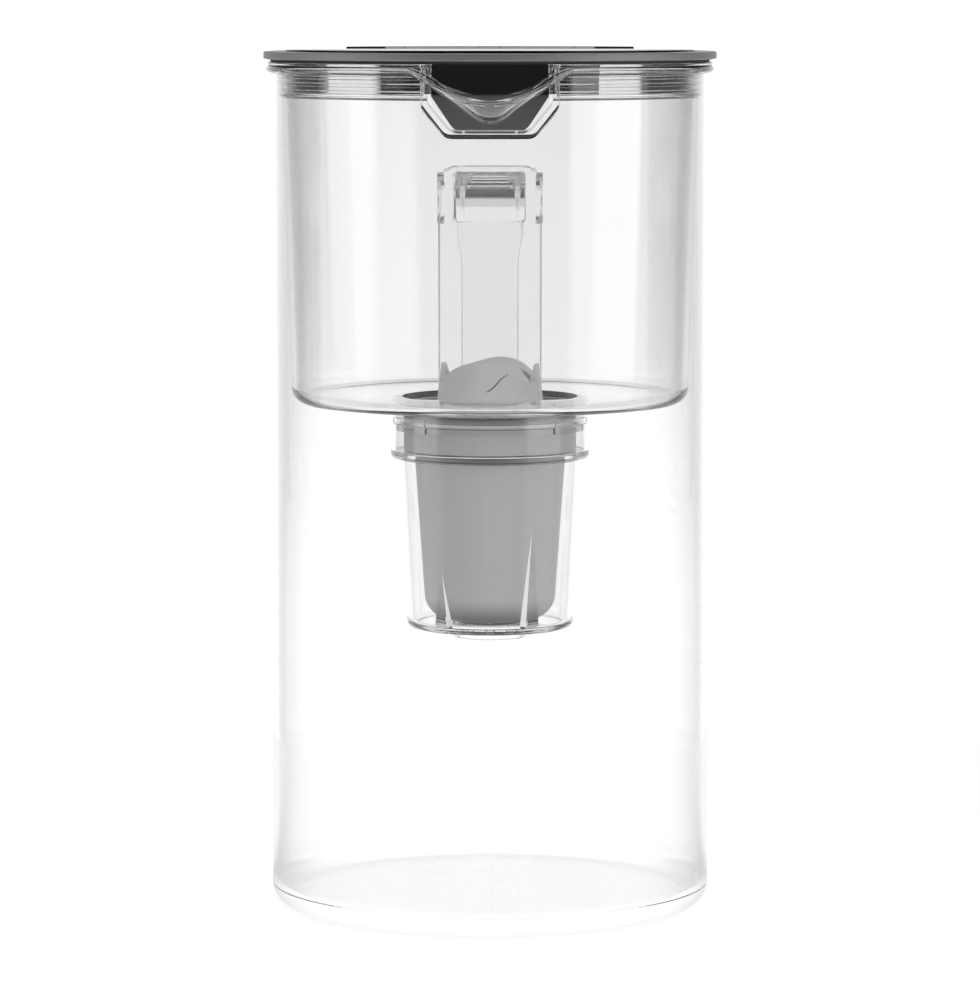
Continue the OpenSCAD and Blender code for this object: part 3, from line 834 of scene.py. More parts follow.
def deliver(piece: bpy.types.Object, body: Body, finish: Finish, nodes: Sequence[str],
            crease: float = 32.0) -> None:
    """Finishes a piece: shading, material, body and the nodes that it stands for.

    Args:
        piece: The piece.
        body: The body that it rides on.
        finish: Its finish.
        nodes: The nodes that it replaces.
        crease: Angle above which an edge stays sharp.
    """
    piece.name = piece.data.name = "visual_" + nodes[0]
    piece.data.materials.clear()
    piece.data.materials.append(finish.material())
    piece.data.shade_smooth()
    piece.data.set_sharp_from_angle(angle=math.radians(crease))
    weigh = piece.modifiers.new("flat_faces", "WEIGHTED_NORMAL")
    weigh.keep_sharp = True
    settle(piece)
    piece.data.name = piece.name
    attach(piece, body.value)
    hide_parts(*nodes)
    log.info("%s on %s: %d faces", piece.name, body.value, len(piece.data.polygons))


def dress(nodes: Sequence[str], finish: Finish) -> None:
    """Gives carried-over nodes their finish.

    Args:
        nodes: Names of the nodes.
        finish: Their finish.
    """
    for name in nodes:
        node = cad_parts[name]
        node.data.materials.clear()
        node.data.materials.append(finish.material())
        log.info("%s keeps its shape in %s", name, finish.name)


def blend_max(a: np.ndarray, b: np.ndarray, blend: float) -> np.ndarray:
    """The larger of two heights, with a fillet where they cross."""
    near = np.maximum(blend - np.abs(a - b), 0) / blend
    return np.maximum(a, b) + near * near * blend / 4


# Sub-assemblies


@dataclass
class Jug:
    """The glass jug with its pouring lip."""

    wall: float = 1.9
    floor: float = 4.0
    corner: float = 7.0
    bead: float = 1.1
    bead_r: float = 1.0
    bead_loss: float = 0.6
    bead_fade: float = 3.0
    rim_z: float = 252.9
    spout_in: float = 0.9
    spout_z: float = 245.5
    keel_r: float = 8.0
    angle: float = 53.5
    lip_dip: float = 9.0
    side_slope: float = 14.0
    front_slope: float = 19.0
    edge: float = 1.0
    fillet: float = 3.6
    rim_fillet: float = 2.5
    lip_round: float = 4.0
    band_low: float = 222.0
    floor_rings: tuple[float, ...] = (0.0, 20.0, 40.0)
    corner_rings: int = 9
    band_rings: int = 14
    rim_rings: int = 62
    rim_ease: float = 1.4
    lip_rings: int = 7
    rounds: int = 12
    out_r: float = field(init=False)

    def __post_init__(self) -> None:
        """Takes the wall's radius from the frame's jug, whose widest part is the bead."""
        self.out_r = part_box("jug")[1][0] / MM - self.bead

    def radius(self, side: np.ndarray, z: np.ndarray, inset: float) -> np.ndarray:
        """Radius of the wall with the spout's funnel blended in.

        Args:
            side: Angles from the spout's direction, in radians.
            z: Heights.
            inset: Distance inwards from the outer face.

        Returns:
            The radius for each angle and height.
        """
        tilt = math.radians(self.angle)
        keel = self.keel_r - inset
        middle = self.out_r - self.spout_in
        rise = z - self.spout_z
        cone = (rise + keel / math.sin(tilt)) * math.tan(tilt)
        ball = keel * keel - rise * rise
        width = np.where(rise > -keel * math.sin(tilt), cone * np.abs(cone), ball)
        left = width - (middle * np.sin(side)) ** 2
        funnel = middle * np.cos(side) + np.sign(left) * np.sqrt(np.abs(left))
        funnel = np.where(np.abs(side) < math.pi / 2, funnel, 0.0)
        return blend_max(np.full_like(funnel, self.out_r - inset), funnel, self.fillet)

    def top(self, side: np.ndarray) -> np.ndarray:
        """Height of the rim, which dips at the lip.

        Args:
            side: Angles from the spout's direction, in radians.

        Returns:
            The height for each angle.
        """
        tilt = math.radians(self.angle)
        slope = math.radians(self.front_slope)
        edge_z = self.rim_z - self.lip_dip
        reach = (edge_z - self.spout_z + self.keel_r / math.sin(tilt)) * math.tan(tilt)
        edge_y = self.spout_in - self.out_r - reach
        z = np.full_like(side, self.rim_z)
        for _ in range(self.rounds):
            r = self.radius(side, z, 0.0)
            x, y = r * np.sin(side), -r * np.cos(side)
            across = np.sqrt(x * x + self.lip_round ** 2) - self.lip_round
            rise = across * math.tan(math.radians(self.side_slope)) + (y - edge_y) * math.sin(slope)
            dip = edge_z + rise / math.cos(slope)
            dip = np.where(np.abs(side) < math.pi / 2, dip, self.rim_z + self.lip_dip)
            z = 0.5 * z - 0.5 * blend_max(-dip, np.full_like(z, -self.rim_z), self.rim_fillet)
        return z

    def swell(self, z: np.ndarray, top: np.ndarray) -> np.ndarray:
        """How far the bead under the rim stands out; it is weaker at the lip.

        Args:
            z: Heights.
            top: Height of the rim above each of them.

        Returns:
            The distance for each height.
        """
        below = np.clip((top - z - self.edge) / self.bead_r, 0, 1)
        lip = np.clip((self.rim_z - top) / self.bead_fade, 0, 1)
        return self.bead * np.sqrt(1 - below ** 2) * (1 - self.bead_loss * lip)

    def foot(self, inset: float, low: float) -> list[tuple]:
        """Rings of one face of the floor and of its round corner, outwards and up.

        Args:
            inset: Distance inwards from the outer face.
            low: Height of the face.

        Returns:
            Radius and height of each ring.
        """
        bend, radius = self.corner - inset, self.out_r - inset
        rings = [(r, low) for r in self.floor_rings]
        for turn in np.linspace(0, math.pi / 2, self.corner_rings):
            rings.append((radius - bend + bend * math.sin(turn), low + bend - bend * math.cos(turn)))
        return rings

    def side_rings(self, side: np.ndarray, top: np.ndarray, inset: float, start: float) -> list[tuple]:
        """Rings of one face of the wall, upwards; they slowly take on the rim's curve.

        Args:
            side: Angles from the spout's direction, in radians.
            top: Height of the rim at each angle.
            inset: Distance inwards from the outer face.
            start: Height of the lowest ring.

        Returns:
            Radius and height of each ring at each angle.
        """
        climb = 1 - (1 - np.linspace(0, 1, self.rim_rings)[1:]) ** self.rim_ease
        levels = [np.full_like(side, z) for z in np.linspace(start, self.band_low, self.band_rings)]
        levels += [self.band_low + (top - self.edge - self.band_low) * share for share in climb]
        return [(self.radius(side, z, inset) + (0.0 if inset else self.swell(z, top)), z) for z in levels]

    def shape(self) -> bpy.types.Object:
        """The jug as one closed net of rings that follow the lip, with more points near the spout.

        Returns:
            The jug.
        """
        near, fine, coarse = 0.75, 280, 72
        side = np.concatenate([np.linspace(-math.pi, -near, coarse, endpoint=False),
                               np.linspace(-near, near, fine, endpoint=False),
                               np.linspace(near, math.pi, coarse, endpoint=False)])
        top = self.top(side)
        outer = self.radius(side, top, 0.0) + self.swell(top, top)
        inner = self.radius(side, top, self.wall)
        quarter = np.linspace(0, math.pi / 2, self.lip_rings)
        lip = [(face + way * self.edge * (1 - math.cos(turn)), top - self.edge * (1 - math.sin(turn)))
               for face, way, turns in ((outer, -1, quarter[1:]), (inner, 1, quarter[:0:-1]))
               for turn in turns]
        rows = self.foot(0.0, 0.0) + self.side_rings(side, top, 0.0, self.corner + 1) + lip
        rows += self.side_rings(side, top, self.wall, self.floor + self.corner - self.wall + 1)[::-1]
        rows += self.foot(self.wall, self.floor)[::-1]
        flat = np.zeros_like(side)
        grid = [(r * np.sin(side), -r * np.cos(side), flat + z) for r, z in rows]
        return net("jug", np.array(grid).transpose(0, 2, 1))

    def build(self) -> None:
        """Makes the jug."""
        deliver(self.shape(), Body.JUG, JUG_GLASS, ["jug"], crease=60)


@dataclass
class Handle:
    """The clear handle: a curved plate on the jug, a bow with two arms and a grip, and two ribs."""

    plate_in_r: float = 66.0
    plate_t: float = 2.6
    plate_w: float = 34.4
    plate_low: float = 108.0
    plate_high: float = 220.8
    plate_round: float = 6.0
    plate_soft: float = 0.8
    low: float = 109.4
    high: float = 219.4
    back: float = 117.9
    arm_w: float = 24.3
    arm_h: float = 17.0
    arm_root: float = 1.6
    grip_w: float = 19.8
    grip_t: float = 8.0
    flare: float = 0.8
    flare_reach: float = 1.6
    outer_bend: float = 17.5
    inner_bend: float = 9.0
    edge: float = 1.8
    waist: float = 14.0
    bend_steps: int = 36
    rail_w: float = 2.4
    rail_out: float = 6.0
    rail_root: float = 1.2
    rail_x: float = 16.0
    rail_low: float = 202.6
    rail_top: float = 218.6
    rail_soft: float = 0.5

    def plate(self) -> bpy.types.Object:
        """The curved plate, as rings that shrink to its middle on both faces.

        Returns:
            The plate.
        """
        half = np.array([self.plate_w, self.plate_high - self.plate_low]) / 2
        middle = (self.plate_high + self.plate_low) / 2
        outline = oblong(*half, self.plate_round, 10)
        outline = np.concatenate([np.linspace(a, b, 12, endpoint=False) if np.linalg.norm(b - a) > 15 else [a]
                                  for a, b in zip(outline, np.roll(outline, -1, axis=0))])
        soft, turns = self.plate_soft, np.linspace(0, math.pi / 2, 5)
        edge = [(1.0, soft * (1 - math.sin(t)), soft * (1 - math.cos(t))) for t in turns]
        stack = [(k / 8, soft, 0.0) for k in range(8)] + edge
        stack += [(share, inset, self.plate_t - depth) for share, inset, depth in stack[::-1]]
        grid = np.empty((len(stack), len(outline), 3))
        for row, (share, inset, depth) in zip(grid, stack):
            flat = outline * share * (1 - inset / half)
            turn = flat[:, 0] / (self.plate_in_r + self.plate_t)
            radius = self.plate_in_r + depth
            row[:] = np.stack([radius * np.sin(turn), radius * np.cos(turn), middle + flat[:, 1]], 1)
        return net("plate", grid)

    def line(self, root: float, back: float, low: float, high: float, bend: float) -> np.ndarray:
        """One side of the C: two arms and a grip between them, with points closest at the two ends.

        Args:
            root: Distance of the two ends from the axis.
            back: Distance of the grip from the axis.
            low: Height of the lower arm.
            high: Height of the upper arm.
            bend: Radius of the two bends.

        Returns:
            The line's points.
        """
        steps = self.bend_steps
        line = eased([(root, high), (back, high, bend), (back, low, bend), (root, low)], False, steps)
        first, last = steps + 1, 2 * (steps + 1)
        close = np.linspace(0, 1, 24, endpoint=False)[:, None] ** 2
        ends = line[0] + (line[1] - line[0]) * close, line[-1] + (line[-2] - line[-1]) * close
        grip = np.linspace(line[first], line[first + 1], 30, endpoint=False)
        return np.concatenate([ends[0], line[1:first], grip, line[first + 1:last + 1], ends[1][::-1]])

    def bow(self) -> bpy.types.Object:
        """The bow, as rounded sections along the C, with arms that flare where they meet the plate.

        Returns:
            The bow.
        """
        root = self.plate_in_r + self.arm_root
        high, low, arm_h = self.high - self.flare, self.low + self.flare, self.arm_h - 2 * self.flare
        outer = self.line(root, self.back, low, high, self.outer_bend)
        inner = self.line(root, self.back - self.grip_t, low + arm_h, high - arm_h, self.inner_bend)
        middle, half = (outer + inner) / 2, (outer - inner) / 2
        reach = np.linalg.norm(half, axis=1)
        depth = np.minimum(self.high - middle[:, 1], middle[:, 1] - self.low)
        slim = np.clip((depth - self.arm_h) / self.waist, 0, 1)
        slim = slim * slim * (3 - 2 * slim)
        near = np.clip(1 - (middle[:, 0] - root) / self.flare_reach, 0, 1)
        extra = self.flare * (1 - np.sqrt(1 - near * near))
        half_w = ((self.arm_w - 2 * self.flare) * (1 - slim) + self.grip_w * slim) / 2 + extra
        grid = []
        for centre, axis, tall, wide in zip(middle, half / reach[:, None], reach + extra, half_w):
            bend = min(self.edge, tall * 0.9)
            section = oblong(wide, tall, bend, 12)
            grid.append([(x, centre[0] + axis[0] * v, centre[1] + axis[1] * v) for x, v in section])
        return net("bow", np.array(grid), caps=True)

    def rail(self, side: int) -> bpy.types.Object:
        """A short rib with a rounded back, beside the upper arm.

        Args:
            side: -1 or 1 for the side of the plate.

        Returns:
            The rib.
        """
        x = side * self.rail_x
        face = math.sqrt((self.plate_in_r + self.plate_t) ** 2 - x * x)
        half, middle = (self.rail_top - self.rail_low) / 2, (self.rail_top + self.rail_low) / 2
        r = (half * half + self.rail_out ** 2) / (2 * self.rail_out)
        turn = math.asin(half / r)
        bulge = arc(r, -turn, turn, 33)[:, ::-1] + (face + self.rail_out - r, middle)
        root = face - self.rail_root
        outline = np.array([(root, self.rail_low), *bulge, (root, self.rail_top)])
        piece = prism("rail", outline, -self.rail_w / 2, self.rail_w / 2, along=Axis.Y)
        return moved(soften(piece, self.rail_soft, 3, 50), x=x, turn=90)

    def build(self) -> None:
        """Joins plate, bow and ribs."""
        piece = combine(self.plate(), self.bow(), Join.UNITE)
        for side in (-1, 1):
            combine(piece, self.rail(side), Join.UNITE)
        deliver(piece, Body.JUG, HANDLE_CLEAR, ["handle"], crease=40)


@dataclass
class Hopper:
    """The hanging hopper with its flange, pour recess and filter socket."""

    rim_z: float = 252.9
    flange_z: float = 254.1
    flange_r: float = 66.6
    out_r: float = 62.4
    low_r: float = 59.6
    wall: float = 1.6
    floor_z: float = 151.9
    floor_t: float = 2.0
    corner: float = 5.0
    ledge_r: float = 63.5
    ledge_low: float = 243.4
    ledge_top: float = 244.5
    ledge_lip: float = 0.4
    bead_r: float = 63.4
    bead_low: float = 251.0
    recess_back: float = 54.0
    recess_w: float = 36.0
    recess_low_w: float = 22.0
    recess_z: float = 234.2
    recess_slant: float = 8.5
    recess_corner: float = 4.0
    recess_reach: float = 60.0
    socket_in_r: float = 26.35
    socket_r: float = 27.5
    socket_z: float = 143.9
    socket_root: float = 0.6
    lug_r: float = 28.4
    lug_root: float = 0.985
    lug_h: float = 2.0
    lug_angle: float = 36.0
    lug_start: float = 90.0
    lugs: int = 3
    beyond: float = 5.0

    def recess(self, name: str, grow: float, ease: float) -> bpy.types.Object:
        """The pour recess as a block of space.

        Args:
            name: Name of the block.
            grow: How much larger it is than the open recess.
            ease: Rounding of its back edges.

        Returns:
            The block, from in front of the jug to the recess's back.
        """
        top_w, low_w, r = self.recess_w / 2 + grow, self.recess_low_w / 2 + grow, self.recess_corner
        low_z, high_z = self.recess_z - grow, self.flange_z + self.beyond
        knee = low_z + self.recess_slant
        outline = eased([(-low_w, low_z, r), (low_w, low_z, r), (top_w, knee, r), (top_w, high_z),
                         (-top_w, high_z), (-top_w, knee, r)], closed=True)
        front = -self.recess_back - self.recess_reach
        return soften(prism(name, outline, front, grow - self.recess_back, along=Axis.Y), ease, 6, 50.0)

    def shape(self) -> bpy.types.Object:
        """The hopper, turned and then cut.

        Returns:
            The hopper.
        """
        ledge_z, in_r = self.ledge_top - self.ledge_lip, self.out_r - self.wall
        floor, top = self.floor_z + self.floor_t, self.flange_z + self.beyond
        piece = lathe("hopper", [
            (0, self.floor_z), (self.low_r, self.floor_z, self.corner), (self.out_r, ledge_z, 1.0),
            (self.ledge_r, ledge_z, 0.1), (self.ledge_r, self.ledge_top, 0.1),
            (self.out_r, self.ledge_top, 0.1), (self.out_r, self.bead_low, 0.2),
            (self.bead_r, self.bead_low, 0.4), (self.bead_r, self.rim_z, 0.1),
            (self.flange_r, self.rim_z, 0.4), (self.flange_r, self.flange_z, 0.4), (0, self.flange_z),
        ], steps=4)
        space = lathe("space", [
            (0, floor), (self.low_r - self.wall, floor, self.corner - self.wall), (in_r, self.ledge_low, 0.5),
            (in_r, top), (0, top)], steps=4)
        combine(space, self.recess("recess_wall", self.wall, 1.6), Join.CUT)
        combine(piece, space, Join.CUT)
        combine(piece, self.recess("recess", 0.0, 1.2), Join.CUT)
        socket = ring("socket", self.socket_in_r, self.socket_r, self.socket_z,
                      self.floor_z + self.socket_root, 0.3, round_top=False, steps=3)
        combine(piece, socket, Join.UNITE)
        combine(piece, rod("bore", self.socket_in_r, self.floor_z - PAST, floor + PAST), Join.CUT)
        lug = sector("lug", self.lug_root * self.socket_r, self.lug_r, self.lug_angle, self.socket_z,
                     self.socket_z + self.lug_h)
        lugs = around(soften(lug, 0.3, 2, 50.0), self.lugs, HOPPER_CLEAR, self.lug_start)
        return combine(piece, lugs, Join.UNITE)

    def build(self) -> None:
        """Makes the hopper and its seal."""
        deliver(self.shape(), Body.HOPPER, HOPPER_CLEAR, ["hopper"])
        deliver(Seal().shape(), Body.HOPPER, CLEAR_SILICONE, ["hopper_seal"], crease=50)


@dataclass
class Seal:
    """The ribbed band between hopper and jug, drawn by Geometry Nodes from its rib count."""

    low: float = 244.6
    high: float = 250.9
    in_r: float = 62.5
    thick: float = 0.6
    rib_out: float = 0.45
    ribs: int = 3
    rib_share: float = 0.42
    end_angle: float = 17.7
    along: int = 320
    fine: int = 200

    def tree(self) -> Grower:
        """Builds the tree: a band's section whose outer side swells at each rib, swept round.

        Returns:
            The tree.
        """
        tree = Grower("ribbed_band", Radius="Float", Height="Float", Thickness="Float", Middle="Float",
                      Ribs="Int", Reach="Float", Share="Float", Start="Float", Sweep="Float",
                      Finish="Material")
        given = tree.given
        section = tree.add("CurvePrimitiveQuadrilateral", Width=given["Thickness"], Height=given["Height"])
        fine = tree.add("ResampleCurve", Curve=section, Count=self.fine)
        x, y, _ = tree.split(tree.add("InputPosition"))
        wave = (y / given["Height"] + 0.5) * given["Ribs"]
        off = (wave.math("FRACT") - 0.5).math("ABSOLUTE")
        swell = off.step(given["Share"] * 0.6, given["Share"] * 0.4)
        reach = swell * given["Reach"] * x.math("GREATER_THAN", 0.0)
        ribbed = tree.add("SetPosition", Geometry=fine, Offset=tree.vector(X=reach))
        path = tree.add("CurveArc", Resolution=self.along, Radius=given["Radius"], Start_Angle=given["Start"],
                        Sweep_Angle=given["Sweep"])
        band = tree.add("CurveToMesh", Curve=path, Profile_Curve=ribbed, Fill_Caps=True)
        tree.close(tree.add("SetPosition", Geometry=band, Offset=tree.vector(Z=given["Middle"])))
        return tree

    def shape(self) -> bpy.types.Object:
        """Runs the tree and returns the band.

        Returns:
            The band.
        """
        piece = self.tree().run(
            "seal",
            Radius=(self.in_r + self.thick / 2) * MM,
            Height=(self.high - self.low) * MM,
            Thickness=self.thick * MM,
            Middle=(self.high + self.low) / 2 * MM,
            Ribs=self.ribs,
            Reach=self.rib_out * MM,
            Share=self.rib_share,
            Start=math.radians(self.end_angle - 90),
            Sweep=math.radians(360 - 2 * self.end_angle),
            Finish=CLEAR_SILICONE.material(),
        )
        tighten(piece.data)
        return piece


@dataclass
class FilterCup:
    """The clear cup that twists on below the hopper, with its seal and screen."""

    collar_r: float = 29.85
    collar_in_r: float = 28.7
    collar_low: float = 135.5
    collar_top: float = 149.7
    collar_corner: float = 2.6
    seat: float = 137.5
    cup_r: float = 27.65
    cup_low_r: float = 24.95
    bottom: float = 84.0
    wall: float = 2.4
    floor_t: float = 1.8
    nozzle_r: float = 10.9
    nozzle_wall: float = 1.5
    nozzle_low: float = 81.0
    hole_d: float = 1.8
    hole_ring: float = 6.0
    holes: int = 8
    seal_in_r: float = 27.8
    seal_r: float = 29.35
    seal_top: float = 151.8
    guide_w: float = 8.0
    guide_t: float = 2.6
    guide_tip: float = 0.12
    guide_ridge: float = 0.06
    guide_root: float = 0.3
    guide_foot: float = 0.2
    guides: tuple[tuple[float, float], ...] = ((30.0, 115.9), (-36.0, 103.4), (144.0, 115.9), (210.0, 103.4))
    lug_in_r: float = 27.8
    lug_root: float = 0.4
    lug_z: float = 146.0
    lug_h: float = 2.0
    lug_angle: float = 36.0
    lug_start: float = 90.0
    lugs: int = 3

    def guide(self, angle: float, top: float) -> bpy.types.Object:
        """One pointed guide rib inside the wall, which widens towards the floor.

        Args:
            angle: Where it stands, from the spout's side.
            top: Height of its point.

        Returns:
            The rib.
        """
        slope = (self.cup_r - self.cup_low_r) / (self.collar_low - self.bottom)
        wide = self.guide_w / 2
        rows = []
        for z, half in ((top, self.guide_tip), (self.bottom + self.floor_t - self.guide_foot, wide)):
            r = self.cup_low_r - self.wall + slope * (z - self.bottom) + self.guide_root
            ridge, in_r = half * self.guide_ridge, r - self.guide_t * half / wide - self.guide_root
            rows.append([(-half, -r, z), (half, -r, z), (ridge, -in_r, z), (-ridge, -in_r, z)])
        return moved(net("guide", np.array(rows), caps=True), turn=angle)

    def shape(self) -> bpy.types.Object:
        """The cup as one turned wall, drilled for the outlet.

        Returns:
            The cup.
        """
        in_r, in_low_r = self.cup_r - self.wall, self.cup_low_r - self.wall
        floor = self.bottom + self.floor_t
        nozzle_in_r = self.nozzle_r - self.nozzle_wall
        piece = lathe("cup", [
            (0, self.bottom), (nozzle_in_r, self.bottom, 0.3), (nozzle_in_r, self.nozzle_low, 0.4),
            (self.nozzle_r, self.nozzle_low, 0.4), (self.nozzle_r, self.bottom, 0.5),
            (self.cup_low_r, self.bottom, 2.2), (self.cup_r, self.collar_low, 0.5),
            (self.collar_r, self.collar_low, self.collar_corner), (self.collar_r, self.collar_top, 0.4),
            (self.collar_in_r, self.collar_top, 0.4), (self.collar_in_r, self.seat, 0.3),
            (in_r, self.seat, 0.6), (in_low_r, floor, 1.4), (0, floor)], steps=8)
        drill = rod("drill", self.hole_d / 2, self.bottom - PAST, floor + PAST, DRILL_SIDES)
        combine(piece, around(moved(drill, x=self.hole_ring), self.holes, CUP_CLEAR), Join.CUT)
        for angle, top in self.guides:
            combine(piece, self.guide(angle, top), Join.UNITE)
        lug = sector("cup_lug", self.lug_in_r, self.collar_in_r + self.lug_root, self.lug_angle, self.lug_z,
                     self.lug_z + self.lug_h)
        lugs = around(soften(lug, 0.25, 2, 50.0), self.lugs, CUP_CLEAR, self.lug_start)
        return combine(piece, lugs, Join.UNITE)

    def build(self) -> None:
        """Makes cup, seal and screen."""
        deliver(self.shape(), Body.FILTER_CUP, CUP_CLEAR, ["filter_cup"])
        seal = ring("cup_ring", self.seal_in_r, self.seal_r, self.collar_top, self.seal_top, 0.4)
        deliver(seal, Body.FILTER_CUP, WHITE_SILICONE, ["cup_seal"])
        dress(["outlet_screen"], PLAIN_STEEL)


@dataclass
class Cartridge:
    """The filter cartridge: tapered case, domed head with grip fins, and its filling."""

    ring_r: float = 25.95
    ring_low: float = 137.6
    ring_top: float = 148.9
    ring_wall: float = 2.4
    body_r: float = 22.75
    low_r: float = 19.2
    bottom: float = 86.6
    corner: float = 8.0
    shell: float = 1.0
    deck_top: float = 150.4
    head_r: float = 16.2
    head_top_r: float = 15.2
    head_sink: float = 0.7
    head_turn: float = -14.0
    shoulder: float = 158.8
    dome_top: float = 164.7
    oring_z: float = 146.3
    oring_t: float = 1.5
    oring_proud: float = 0.1
    groove_gap: float = 0.05
    slots: int = 8
    slot_angle: float = 26.0
    slot_in_r: float = 17.4
    slot_out_r: float = 23.25
    arch_half: float = 12.6
    valley: float = 158.8
    slit_x: float = 2.1
    slit_z: float = 158.7
    slit_w: float = 6.4
    slit_h: float = 4.6
    slit_t: float = 0.3
    slit_taper: float = 0.92
    slit_deep: float = 1.5
    fin_w: float = 4.0
    fin_top: float = 163.8
    fin_tip: float = 0.5
    fin_foot: float = 2.2
    fin_step: float = 0.6
    fin_half: float = 2.2
    drain_ring: float = 6.7
    drain_d: float = 1.8
    drains: int = 8

    def case(self) -> bpy.types.Object:
        """The case, turned as one wall with its O-ring groove, and drilled.

        Returns:
            The case.
        """
        groove = self.ring_r + self.oring_proud - self.oring_t - self.groove_gap
        half = self.oring_t / 2 + self.groove_gap
        ring_in, t = self.ring_r - self.ring_wall, self.shell
        piece = lathe("case", [
            (0, self.bottom), (self.low_r, self.bottom, self.corner), (self.body_r, self.ring_low, 0.4),
            (self.ring_r, self.ring_low, 0.6), (self.ring_r, self.oring_z - half, 0.15),
            (groove, self.oring_z - half), (groove, self.oring_z + half),
            (self.ring_r, self.oring_z + half, 0.15), (self.ring_r, self.ring_top, 0.1),
            (ring_in, self.ring_top), (ring_in, self.ring_low + 2 * t), (self.body_r - t, self.ring_low + t),
            (self.low_r - t, self.bottom + t, self.corner - t), (0, self.bottom + t)], steps=10)
        drill = rod("drain", self.drain_d / 2, self.bottom - PAST, self.bottom + t + PAST, DRILL_SIDES)
        drills = around(moved(drill, x=self.drain_ring), self.drains, CARTRIDGE_GREY)
        return combine(piece, drills, Join.CUT)

    def vault(self) -> bpy.types.Object:
        """The space under the head's top: a flat shoulder with an arch across it.

        Returns:
            The space as a block.
        """
        rise = self.dome_top - self.valley
        ball = (self.arch_half ** 2 + rise * rise) / (2 * rise)
        reach = math.asin(self.arch_half / ball)
        arch = arc(ball, -reach, reach, 48) + (0, self.dome_top - ball)
        foot, wide = self.ring_top, self.ring_r + 2
        outline = [(-wide, foot), (-wide, self.valley), *arch, (wide, self.valley), (wide, foot)]
        return moved(prism("vault", np.array(outline)[::-1], -wide, wide, along=Axis.Y), turn=self.head_turn)

    def slit(self) -> bpy.types.Object:
        """The curved slit in the grip's front, as a bent blade.

        Returns:
            The blade.
        """
        t = np.linspace(-1, 1, 24)
        x = self.slit_x + self.slit_w / 2 * t
        z = self.slit_z + self.slit_h / 2 * np.sin(t * math.pi / 2)
        thick = self.slit_t * np.sqrt(1 - self.slit_taper * t * t)
        outline = np.concatenate([np.stack([x, z + thick], 1), np.stack([x, z - thick], 1)[::-1]])
        return prism("slit", outline, -self.ring_r, -self.head_top_r + self.slit_deep, along=Axis.Y)

    def flank(self, z: float) -> float:
        """Radius of the grip's tapered side at a height."""
        slope = (self.head_r - self.head_top_r) / (self.shoulder - self.deck_top)
        return self.head_r - slope * (z - self.deck_top)

    def fin(self, side: int) -> bpy.types.Object:
        """One pointed fin that carries on the head's side.

        Args:
            side: -1 or 1 for the side of the head.

        Returns:
            The fin.
        """
        foot, top, step = self.deck_top + 1, self.fin_top, self.shoulder - self.fin_step
        low, high = self.flank(foot), self.flank(top)
        outline = np.array([(low - self.fin_w, foot), (low, foot), (high, top), (high - self.fin_tip, top),
                            (high - self.fin_foot, step), (low - self.fin_w, step)])
        outline[:, 0] *= side
        piece = soften(prism(f"fin_{side}", outline, -self.fin_half, self.fin_half, along=Axis.Y), 0.2, 3)
        return moved(piece, turn=self.head_turn)

    def head(self) -> bpy.types.Object:
        """The head: a deck with inlets, and a tapered grip with an arched top, two fins and a slit.

        Returns:
            The head.
        """
        top, foot = self.dome_top + PAST, self.deck_top - self.head_sink
        taper = self.flank(top) - self.flank(foot)
        grip = lathe("grip", [(0, foot), (self.head_r, foot), (self.head_r + taper, top), (0, top)])
        soften(combine(grip, self.vault(), Join.SHARE), 0.6, 4, 40.0)
        combine(grip, self.slit(), Join.CUT)
        for side in (-1, 1):
            combine(grip, self.fin(side), Join.UNITE)
        piece = lathe("head", [(0, self.ring_top), (self.ring_r, self.ring_top, 0.1),
                               (self.ring_r, self.deck_top, 0.5), (0, self.deck_top)], steps=5)
        combine(piece, grip, Join.UNITE)
        slot = sector("inlet", self.slot_in_r, self.slot_out_r, self.slot_angle, self.ring_top - PAST,
                      self.deck_top + PAST, points=11)
        return combine(piece, around(slot, self.slots, CAP_GREY, 180.0 / self.slots), Join.CUT)

    def build(self) -> None:
        """Makes the cartridge's pieces."""
        deliver(self.case(), Body.CARTRIDGE, CARTRIDGE_GREY, ["cartridge_shell"])
        deliver(self.head(), Body.CARTRIDGE, CAP_GREY, ["cartridge_cap"])
        half, out_r = self.oring_t / 2, self.ring_r + self.oring_proud
        oring = ring("oring", out_r - self.oring_t, out_r, self.oring_z - half, self.oring_z + half, half)
        deliver(oring, Body.CARTRIDGE, WHITE_SILICONE, ["cartridge_seal"])
        dress(["top_felt", "middle_felt", "bottom_felt"], FELT)
        dress(["carbon_bed"], CARBON)
        dress(["resin_bed"], RESIN)


